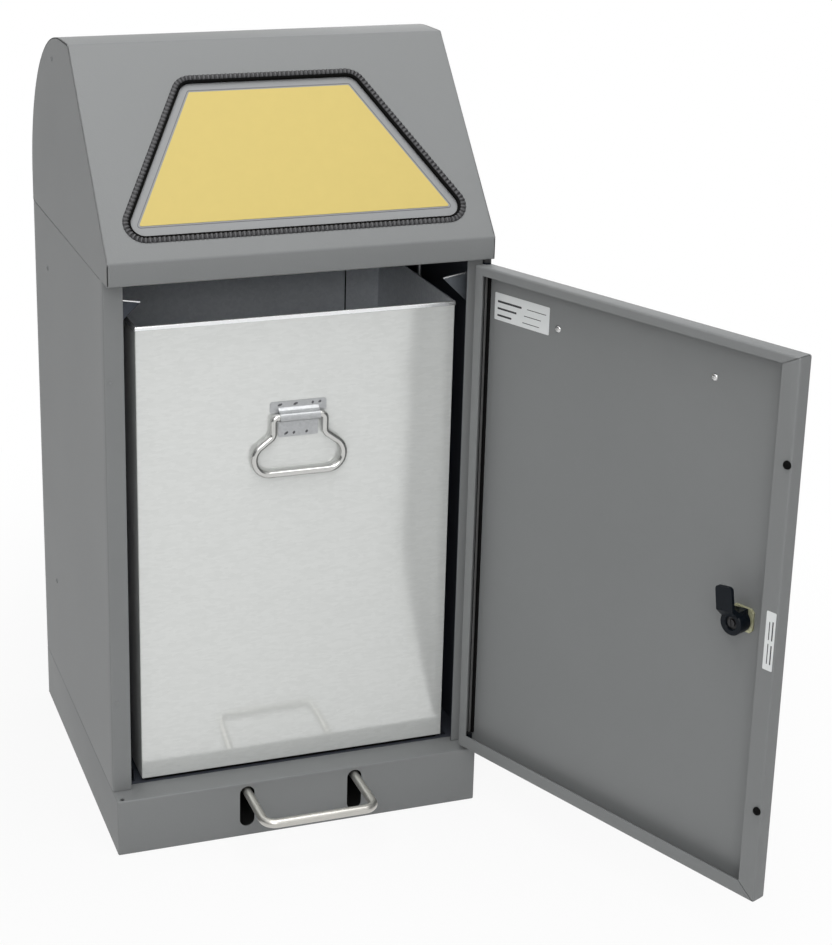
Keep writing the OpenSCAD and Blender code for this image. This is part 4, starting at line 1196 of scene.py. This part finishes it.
# %% Buffers and seal
BUFFER = [(0.0, 4.0), (1.5, 3.85), (2.8, 3.3), (3.7, 2.4), (4.2, 1.2), (4.3, 0.4), (4.1, 0.0)]
BUFFER += [(STEM_R, 0.0), (STEM_R, -1.2), (3.4, -1.2), (3.2, -3.0), (0.0, -3.2)]
for number, z in enumerate(BUFFER_ZS):
    piece(
        f"buffer_{number}", turned_solid(BUFFER, 32),
        DOOR @ moved(BUFFER_X, DOOR_T, z) @ turned(-90, "X"), "door", SOFT_RUBBER_AND_SHADE,
        ["door_buffers"], soft=0,
    )
SEAL_ENDS = (85.5, 627.0)
SEAL = [(199.3, 1.2), (207.3, 1.2), (207.3, 3.1), (206.7, 3.7), (199.9, 3.7), (199.3, 3.1)]
strip = plate(SEAL, *SEAL_ENDS)
piece("seal_strip", strip, DOOR, "door", SOFT_RUBBER_AND_SHADE, ["door_seal"], soft=0)
# The ridge's paler rubber is a painted highlight.
RIDGE = [(202.6, 3.6), (204.0, 3.6), (203.8, 5.9), (203.5, 6.2), (203.1, 6.2), (202.8, 5.9)]
ridge = plate(RIDGE, *SEAL_ENDS)
piece("seal_ridge", ridge, DOOR, "door", RIDGE_HIGHLIGHT_RUBBER, soft=0)

# %% [markdown]
# ## Labels and screws of the door
#
# Two white films are stuck inside the door. Each is a thin plate with round corners, drawn on a
# bench that stands upright, with Z towards the front. They carry only ruled lines. The screws
# have a low turned head on both sides of the sheet and a six-sided socket, which is punched.

# %% Labels
DOOR_FACE = DOOR @ turned(90, "X")
WIDE_RULES = [
    (168.0, 586.4, 188.5, 588.5), (128.0, 586.8, 152.0, 587.6), (161.0, 594.0, 188.5, 596.1),
    (126.0, 594.5, 150.0, 595.3), (154.0, 601.6, 188.5, 603.9), (119.0, 602.4, 146.0, 603.2),
]
NARROW_RULES = [
    (-204.3, 331.0, -202.9, 351.0), (-200.3, 331.0, -199.3, 352.0),
    (-204.3, 356.0, -202.9, 376.0), (-200.3, 356.0, -199.3, 375.0),
]


def label(name, node, low, high, surface, rules):
    """A film whose far side lies on a surface, with its ruled lines."""
    front = -surface - 0.3
    paper = plate(softened_rectangle(low, high, 1.0), front, -surface)
    piece(name, paper, DOOR_FACE, "door", WHITE_FILM, [node], soft=0)
    outlines = [[(x0, z0), (x1, z0), (x1, z1), (x0, z1)] for x0, z0, x1, z1 in rules]
    ruled = join(*[plate(outline, front - 0.03, front) for outline in outlines])
    piece(name + "_rules", ruled, DOOR_FACE, "door", INK, soft=0)


label("label_wide", "door_label", (114.3, 582.0), (192.8, 612.0), DOOR_SHEET, WIDE_RULES)
label("label_narrow", "edge_label", (-206.5, 324.5), (-195.5, 385.5), DOOR_T, NARROW_RULES)

# %% Screws
SCREW = [(0.0, 2.2), (1.7, 2.1), (3.0, 1.6), (3.8, 0.7), (4.0, 0.15), (4.0, 0.0), (2.0, 0.0)]
SCREW += [(2.0, -1.2), (4.0, -1.2), (3.7, -1.7), (2.4, -2.25), (0.0, -2.4)]
for number, x in enumerate((-SCREW_X, SCREW_X)):
    place = DOOR @ moved(x, DOOR_SHEET, SCREW_Z) @ turned(-90, "X")
    piece(
        f"pan_screw_{number}", turned_solid(SCREW, 36), place, "door", TURNED_PART,
        ["door_screws"], cuts=[hole(place, 1.4, (0, 0, 1.0), (0, 0, 3.0), 6)], soft=0,
    )

# %% [markdown]
# ## Lock
#
# The lock is a bought part: a passivated housing with clipped corners behind the sheet, a
# rosette in front and a black cranked cam. The housing's step is an inset and an extrusion of its
# face. The cam starts as its side profile, is trimmed by its outline seen from the front, and
# joined to its hub, as a die caster's model would be.

# %% Lock housing and rosette
LOCK_FACE = DOOR @ moved(LOCK_X, 0, LOCK_Z) @ turned(-90, "X")
HALF_HOUSING, CLIP, BORE_R, STEP = 12.75, 3.4, 6.55, 2.2
housing_low, housing_high = (-HALF_HOUSING, -HALF_HOUSING), (HALF_HOUSING, HALF_HOUSING)
block = plate(softened_rectangle(housing_low, housing_high, CLIP, 1), DOOR_SHEET, 3.8)
bmesh.ops.inset_region(block, faces=[face_towards(block, (0, 0, 1))], thickness=1.3)
top_face = face_towards(block, (0, 0, 1))
raised = bmesh.ops.extrude_face_region(block, geom=[top_face])["geom"]
bmesh.ops.delete(block, geom=[top_face], context="FACES_ONLY")
bmesh.ops.translate(block, vec=(0, 0, STEP), verts=new_verts(raised))
block_cuts = [hole(LOCK_FACE, BORE_R, (0, 0, 0), (0, 0, 8), 40)]
for x, y in ((11, 3), (-11, -3), (3, -11)):
    block_cuts.append(tool(box((x - 1.6, y - 1.6, 4.2), (x + 1.6, y + 1.6, 7)), LOCK_FACE))
piece(
    "lock_block", block, LOCK_FACE, "door", PASSIVATED, ["lock_housing"],
    cuts=block_cuts, soft=0.35,
)
NOSE = [(BORE_R, 1.2), (BORE_R, -1.1), (6.9, -1.5), (9.0, -1.5), (NOSE_R, -1.0), (NOSE_R, 1.2)]
nose = turned_solid(NOSE, 48, ring=True)
piece("lock_nose", nose, LOCK_FACE, "door", PASSIVATED, ["lock_housing"], soft=0)
ROSETTE = [(NOSE_R, 0.0), (NOSE_R, -1.0), (9.8, -1.2), (12.6, -1.2), (13.9, -0.85)]
ROSETTE += [(14.45, -0.3), (14.5, 0.0)]
rosette = turned_solid(ROSETTE, 56, ring=True)
piece("rosette", rosette, LOCK_FACE, "door", TURNED_PART, ["lock_rosette"], soft=0)

# %% Cam
HUB_R, HUB_IN, HUB_Y, HUB_TOP = 12.5, 6.5, 6.6, 22.4
CAM_Y, CAM_T, CAM_REACH, CAM_HALF = 27.0, 3.7, 40.0, 9.75
side_view = [
    (HUB_IN, HUB_Y), (HUB_R, HUB_Y), (HUB_R, HUB_TOP - 2), (17.5, CAM_Y), (CAM_REACH, CAM_Y),
    (CAM_REACH, CAM_Y + CAM_T), (15.0, CAM_Y + CAM_T), (HUB_IN, HUB_TOP),
]
front_view = softened_rectangle((-16, -CAM_HALF), (CAM_REACH, CAM_HALF), 4.0, 6)
HUB = [(0.0, HUB_Y), (11.9, HUB_Y), (HUB_R, 7.2), (HUB_R, 21.6), (11.7, HUB_TOP), (0.0, HUB_TOP)]
HUB_BORE = [(0.0, 5.0), (HUB_IN, 5.0), (HUB_IN, 21.2), (7.7, 23.0), (0.0, 23.0)]
cam_steps = [
    tool(plate(front_view, -40, 0), LOCK @ turned(90, "X"), "INTERSECT"),
    tool(turned_solid(HUB, 56), LOCK @ turned(-90, "X"), "UNION"),
    tool(turned_solid(HUB_BORE, 48), LOCK @ turned(-90, "X")),
]
piece(
    "cam_lever", plate(side_view, -CAM_HALF, CAM_HALF), LOCK, "lock", PLASTIC,
    ["lock_cam"], cuts=cam_steps, soft=0.5,
)

# %% [markdown]
# ## Container
#
# The container is a tall open box of thin galvanised sheet. Its edge is hemmed: folded over
# outwards all round, which shows as one bright line, helped by a lighter, shinier copy of the
# zinc:
# painted highlight. The hem is a rolled section run round the rectangle, and the box below it is
# bent from one skin with its wall inwards. Its inner faces get a duller, lighter copy of the
# sheet: painted light in the shaded inside.

# %% Container
CAN_HALF, CAN_FRONT, CAN_BACK = 177.5, 34.0, 274.0
CAN_LOW, CAN_TOP, CAN_BEND, CAN_SHEET, FOOT, HEM_H = 67.2, 594.2, 1.3, 1.0, 3.4, 1.4
can_box = (-CAN_HALF, CAN_FRONT, CAN_LOW + FOOT), (CAN_HALF, CAN_BACK, CAN_TOP - HEM_H)
can = box(*can_box)
open_face(can, (0, 0, 1))
bend_over(can, fold_edges(can, *can_box), CAN_BEND, 5)
shell = piece(
    "container_box", can, CONTAINER, "container", GALVANISED, ["container_shell"],
    wall=CAN_SHEET, soft=0,
)
# Duller, lighter inner faces: painted light.
tone_inner_faces(shell, (CAN_X, (CAN_FRONT + CAN_BACK) / 2, 330), DULL_LIGHTENED_ZINC)

HEM = [(-1.0, -5.0), (-1.4, -4.6), (-1.4, -2.6), (-1.3, -1.6), (-0.95, -0.75), (-0.35, -0.2)]
HEM += [(0.3, 0.0), (0.75, -0.2), (1.0, -0.8), (1.0, -1.4), (0.0, -1.4), (0.0, -5.0)]
hem_x, near_y, far_y = CAN_HALF - CAN_BEND, CAN_FRONT + CAN_BEND, CAN_BACK - CAN_BEND
can_corners = [(hem_x, near_y), (hem_x, far_y), (-hem_x, far_y), (-hem_x, near_y)]
hem_points = ring_points([Vector(c) for c in can_corners], [-90, 0, 90, 180, 270], CAN_BEND, 60.0)
hem = sweep(lambda i: HEM, ring_places(hem_points, CAN_TOP), closed=True)
# The hem's lighter, shinier zinc is a painted highlight.
piece(
    "container_hem", hem, CONTAINER, "container", HIGHLIGHT_ZINC, ["container_rim"], soft=0
)

# %% [markdown]
# The container stands on a flat black foot a little smaller than its bottom, which shows as a
# dark line along the edge: a black part put in the shaded gap, painted shade. Inside, its sheet
# closes in a lapped seam on the back wall, and a black rod along the lap's edge paints the edge's
# shadow line.

# %% Foot and seam of the container
FOOT_HALF, FOOT_IN = 174.5, 2.5
LAP_EDGE, LAP_LOW, LAP_TOP = 135.0, 73.0, 590.0
foot_corners = (-FOOT_HALF, CAN_FRONT + FOOT_IN), (FOOT_HALF, CAN_BACK - FOOT_IN)
foot = plate(softened_rectangle(*foot_corners, 4.0), CAN_LOW, CAN_LOW + FOOT + 0.3)
# The black foot is painted shade in the gap under the container.
piece("container_shade_foot", foot, CONTAINER, "container", SOFT_RUBBER_AND_SHADE, soft=0.4)
INNER_BACK = CONTAINER @ moved(0, CAN_BACK - CAN_SHEET, 0) @ turned(90, "X")
lap_outline = softened_rectangle((LAP_EDGE, LAP_LOW), (LAP_EDGE + 16.0, LAP_TOP), 1.0)
lap = plate(lap_outline, 0.0, 0.7)
piece("container_lap", lap, INNER_BACK, "container", DULL_LIGHTENED_ZINC, soft=0.2)
# A black rod along the lap's edge: painted shadow.
shadow_rod_path = [Vector((LAP_EDGE - 0.4, y, 0.4)) for y in (LAP_LOW + 0.5, LAP_TOP - 1.0)]
shadow_rod = round_rod(shadow_rod_path, 0.8, 10)
piece("container_lap_shade", shadow_rod, INNER_BACK, "container", SOFT_RUBBER_AND_SHADE, soft=0)

# %% [markdown]
# ## Folding handle
#
# The handle plate is stamped: a wide upper tab, a narrower lower one, and between them a barrel
# rolled round the bail. It is spot-welded, which leaves small scorched marks. The bail is one
# bright rod bent into a loop. Its path needs only its corner points, because every bend is an arc
# between two straight stretches.

# %% Handle plate
PLATE_FRONT, PLATE_T = 4.35, 1.2
TAB_HALF, TAB_LOW, TAB_TOP, TAIL_LOW = 31.7, 3.0, 16.0, -24.0
BARREL_R, BARREL_HALF, BAIL_R = 5.4, 22.5, 4.0
HANDLE_FACE = HANDLE @ turned(90, "X")
plate_depth = (-PLATE_FRONT - PLATE_T, -PLATE_FRONT)
upper_outline = softened_rectangle((-TAB_HALF, TAB_LOW), (TAB_HALF, TAB_TOP), 2.6, 5)
lower_outline = softened_rectangle((-BARREL_HALF, TAIL_LOW), (BARREL_HALF, TAB_LOW + 3), 1.6)
upper, lower = plate(upper_outline, *plate_depth), plate(lower_outline, *plate_depth)
roll_view = [(PLATE_FRONT + 0.4, 9.6), (PLATE_FRONT - 0.1, 9.2), (1.6, 6.6), (-0.9, 5.4)]
roll_view += arc(0.0, 0.0, BARREL_R, 108, 258, 25)
roll_view += [(PLATE_FRONT - 1.2, -5.3), (PLATE_FRONT - 0.1, -6.0), (PLATE_FRONT + 0.4, -6.4)]
roll = plate(roll_view, -BARREL_HALF, BARREL_HALF)
handle_steps = [
    tool(lower, HANDLE_FACE, "UNION"),
    tool(roll, HANDLE @ turned(90, "Z") @ turned(90, "X"), "UNION"),
    hole(HANDLE, BAIL_R + 0.05, (-30, 0, 0), (30, 0, 0), 40),
]
piece(
    "handle_stamping", upper, HANDLE_FACE, "container", STAMPED, ["handle_plate"],
    cuts=handle_steps, soft=0.25,
)

# %% Spot welds
WELD_MARK = [(0.0, 0.3), (0.7, 0.28), (1.3, 0.16), (1.7, 0.0), (0.0, 0.0)]
WELDS = [(-20.7, 12.6, 20, 1.6), (-3.2, 12.6, 20, 1.6), (16.1, 12.4, 70, 1.0)]
WELDS += [(24.1, 12.6, 30, 1.1), (-13.5, -20.0, 35, 1.5), (-4.8, -20.0, 60, 1.1)]
WELDS += [(9.5, -20.0, 55, 1.1)]
for number, (x, z, lean, stretch) in enumerate(WELDS):
    mark = turned_solid(WELD_MARK, 20)
    bmesh.ops.scale(mark, vec=(stretch, 0.8, 1.0), verts=mark.verts)
    place = HANDLE_FACE @ moved(x, z, -PLATE_FRONT) @ turned(lean, "Z")
    name = f"spot_weld_{number}"
    piece(name, mark, place, "container", WELD, ["handle_rivets"], soft=0)

# %% Bail
right_half = [(29, 0, 0), (29, 0, -20.875), (86.5, 0, -64)]
left_half = [(-x, y, z) for x, y, z in reversed(right_half)]
bail_points = [(0, 0, 0)] + right_half + left_half + [(0, 0, 0)]
bail_path = round_corners(bail_points, [5, 8, 18, 18, 8, 5], 7.5)
bail = round_rod(bail_path, BAIL_R, 24, closed=True)
piece("bail_loop", bail, HANDLE, "bail", BRIGHT_ROD, ["container_bail"], soft=0)

# %% [markdown]
# ## Corner gussets
#
# Under the hood's lip a small three-cornered plate stiffens each front corner. Its upper edge is
# folded over, and that fold is all that shows of it at first sight: a short bright line, made
# brighter by a lighter, shinier zinc, a painted highlight. The left plate, deeper in the shade,
# gets a dark copy of the zinc: painted shade. The plate is an outline with thickness, and the fold
# a rod laid along its edge.

# %% Gussets
GUSSET_Y, GUSSET_T, FOLD_R = 38.0, 1.5, 1.05
GUSSET, FOLD = ((167.0, 619.0), (208.5, 579.0), (208.5, 626.0)), ((167.6, 619.2), (208.0, 626.0))
# The left plate's dark zinc is painted shade.
for side, name, finish in ((-1, "left", SHADE_DARKENED_ZINC), (1, "right", ZINC)):
    web = plate([(side * x, z) for x, z in GUSSET], -GUSSET_Y - GUSSET_T, -GUSSET_Y)
    piece(
        f"gusset_{name}", web, CABINET @ turned(90, "X"), "cabinet", finish,
        [f"corner_gusset_{name}"], soft=0.3,
    )
    fold = rod_solid(FOLD_R, *[(side * x, GUSSET_Y + 0.3, z) for x, z in FOLD], 14)
    # The fold's lighter zinc is a painted highlight.
    piece(f"gusset_fold_{name}", fold, CABINET, "cabinet", HIGHLIGHT_ZINC, soft=0)

# %% [markdown]
# ## Blind rivets
#
# Blind rivets hold the sides: a low head with a pit where its pin broke off, painted over with
# the cabinet. Three on each side are the same turned shape, put in its places. The plugs in the
# stiles close the holes of the other hinge side. They are flat caps with a shallow dimple.

# %% Rivets
RIVET = [(0.0, -0.9), (1.6, -0.9), (1.75, 0.6), (2.1, 0.95), (2.8, 0.75), (3.2, 0.2)]
RIVET += [(3.25, 0.0), (2.6, -1.2), (0.0, -1.2)]
RIVET_PLACES = ((323, 584), (323, 190), (262, 837))


def painted_cap(name, outline, place, node):
    """A small turned head, painted with the cabinet."""
    made = turned_solid(outline, 28)
    piece(name, made, CABINET @ place, "cabinet", PAINT, [node], soft=0)


for side, name in ((-1, "left"), (1, "right")):
    for number, (y, z) in enumerate(RIVET_PLACES):
        place = moved(side * HALF_W, y, z) @ turned(side * 90, "Y")
        painted_cap(f"rivet_{name}_{number}", RIVET, place, "side_rivets")

# %% Stile plugs
PLUG_X, PLUG_ZS = 204, (173, 540)
PLUG = [(0.0, -0.1), (1.2, 0.0), (2.0, 0.5), (2.7, 0.6), (3.3, 0.4), (3.5, 0.0), (3.5, -0.4)]
PLUG += [(0.0, -0.6)]
for side, name in ((-1, "left"), (1, "right")):
    for number, z in enumerate(PLUG_ZS):
        place = moved(side * PLUG_X, STILE_Y, z) @ turned(90, "X")
        painted_cap(f"plug_{name}_{number}", PLUG, place, "stile_plugs")

# %% [markdown]
# ## Pedal and linkage
#
# The pedal is a rod of ten millimetres, bent twice, that comes out through the slots. Behind
# it, out of sight, a thinner rod runs up the right-hand side to the flap, with a coil spring
# that shuts it. Both rods are swept along their paths. The spring is swept along a helix, and
# because it shortens when the pedal goes down, it gets a mesh of its own.

# %% Pedal rod
PEDAL_R, PEDAL_BEND, PEDAL_Z, PEDAL_FRONT, PEDAL_BACK = 5.0, 13.0, 55.0, -73.0, 94.0
pedal_points = [
    (-SLOT_X, PEDAL_BACK, PEDAL_Z), (-SLOT_X, PEDAL_FRONT, PEDAL_Z),
    (SLOT_X, PEDAL_FRONT, PEDAL_Z), (SLOT_X, PEDAL_BACK, PEDAL_Z),
]
pedal_path = round_corners(pedal_points, [PEDAL_BEND, PEDAL_BEND], 7.5)
pedal = round_rod(pedal_path, PEDAL_R, 32)
piece("pedal_bow", pedal, CABINET, "pedal", SATIN_ROD, ["pedal_rod"], soft=0)

# %% Push rod
rod_low, rod_high = (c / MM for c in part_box("push_rod"))
PUSH_R = 3.0
hook_x, rod_x, rod_y = rod_low.x, rod_high.x - PUSH_R, (rod_low.y + rod_high.y) / 2
foot_z, head_z = rod_low.z + PUSH_R, rod_high.z - PUSH_R
push_points = [(hook_x, foot_z), (rod_x, foot_z), (rod_x, head_z), (hook_x, head_z)]
push_path = round_corners([(x, rod_y, z) for x, z in push_points], [4, 4], 10)
lift = round_rod(push_path, PUSH_R, 20)
piece("lift_rod", lift, FRAME, "push_rod", UPRIGHT_ROD, ["push_rod"], soft=0)
print("lift rod at x", round(rod_x, 2), "y", round(rod_y, 2))

# %% Spring
spring_low, spring_high = (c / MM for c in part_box("return_spring"))
WIRE_R, COIL_R, TURNS, PER_TURN = 0.7, 5.4, 9, 24
steps, rise = TURNS * PER_TURN, spring_high.z - spring_low.z - 2 * WIRE_R
circle = arc(rod_x, rod_y, COIL_R, 0, 360 * TURNS, steps)
heights = [spring_low.z + WIRE_R + rise * i / steps for i in range(steps + 1)]
helix = [Vector((x, y, z)) for (x, y), z in zip(circle, heights)]
wire = round_rod(helix, WIRE_R, 10)
coil = piece(
    "coil_spring", wire, FRAME, "push_rod", BRIGHT_ROD, ["return_spring"], soft=0
)
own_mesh(coil)

# %% [markdown]
# ## Finishes of the CAD pieces that stay
#
# The hidden fittings are right as the CAD model draws them. Each gets a node material in place of
# the flat colour that came with it: mostly its own finish, and for the floor pan, the container's
# guides, the lock's plug and screw and the door's pins a dark copy that paints the shade they sit
# in.

# %% CAD pieces
FITTINGS = (
    # The floor pan's nearly black paint is painted shade.
    (SHADE_PAINTED_COAT, "floor_pan"),
    (PAINT, "back_panel"),
    (FLAP_PAINT, "flap_panel"),
    # The guides' dark zinc is painted shade.
    (SHADE_DARKENED_ZINC, "container_guides"),
    (ZINC, "rear_stop", "pedal_brackets", "rod_guides", "flap_straps", "flap_crank"),
    (ZINC, "pedal_hubs", "pedal_lever"),
    # Black steel here is painted shade in the lock's bore and the hinge gaps.
    (BLACK_SHADE_STEEL, "pivot_pin_lower", "pivot_pin_upper", "lock_plug", "cam_screw"),
    (TURNED_PART, "flap_shaft", "pedal_shaft", "rod_collar"),
    (PLASTIC, "flap_bearings", "door_bushes"),
)
for finish, *names in FITTINGS:
    for name in names:
        for material_slot in frame["nodes"][name].material_slots:
            material_slot.material = finish
print("CAD pieces kept:", sum(len(names) for finish, *names in FITTINGS))

# %% [markdown]
# ## Floor
#
# The floor is a wide sheet. Near the bin it takes the light as a pale board would, so the shadow
# falls on it; further out, what the camera sees fades to the same white as the world. Under
# the plinth its colour is dark, a painted shade, so that the pedal's slots look into the dark.

# %% Floor
FLOOR_SIZE = 14.0
UNDER_X, UNDER_Y = 0.208, 0.2005
FADE_FROM, FADE_TO, FADE_LEAST = 0.3, 1.1, 0.9
UNDER_PLINTH_SHADE, PALE_BOARD = (0.03, 0.03, 0.03, 1.0), (0.78, 0.78, 0.78, 1.0)
sheet = bmesh.new()
bmesh.ops.create_grid(sheet, x_segments=8, y_segments=8, size=FLOOR_SIZE)
floor = into_scene("floor", sheet)
floor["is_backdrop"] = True
floor_material = bpy.data.materials.new("pale floor")
floor_material.use_nodes = True
tree = floor_material.node_tree
here = add_node(tree, "TexCoord").outputs["Object"]
apart = add_node(tree, "SeparateXYZ", {0: here}).outputs
beside = maths(tree, "SUBTRACT", maths(tree, "ABSOLUTE", apart["X"]), UNDER_X)
before = maths(tree, "SUBTRACT", maths(tree, "ABSOLUTE", apart["Y"]), UNDER_Y)
outside = maths(tree, "GREATER_THAN", maths(tree, "MAXIMUM", beside, before), 0.0)
board = tree.nodes["Principled BSDF"]
board.inputs["Roughness"].default_value = 0.9
# Inside the plinth's footprint the board is dark: painted shade.
tree.links.new(mix(tree, outside, UNDER_PLINTH_SHADE, PALE_BOARD), board.inputs["Base Color"])
reach = add_node(tree, "VectorMath", {0: here}, operation="LENGTH").outputs["Value"]
fade = ramp(tree, reach, FADE_FROM, FADE_TO, FADE_LEAST)
share = maths(tree, "MULTIPLY", maths(tree, "MULTIPLY", fade, seen_ray(tree)), outside)
white = add_node(tree, "Emission", {"Strength": 1.0})
blend = add_node(tree, "MixShader", {0: share, 1: board.outputs[0], 2: white.outputs[0]})
tree.links.new(blend.outputs[0], tree.nodes["Material Output"].inputs["Surface"])
floor.data.materials.append(floor_material)

# %% [markdown]
# ## Hand-over
#
# The picture is shown as it is lit, with the Standard view. Last, the two boxes are written down,
# the CAD model's and the dressed part's, so that they can be compared.

# %% Finish
bpy.context.scene.view_settings.view_transform = "Standard"
bpy.context.view_layer.update()
visual_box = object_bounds()
for corners in zip(cad_box, visual_box):
    print("corner, CAD and visual, mm:", *[[round(c / MM, 1) for c in one] for one in corners])
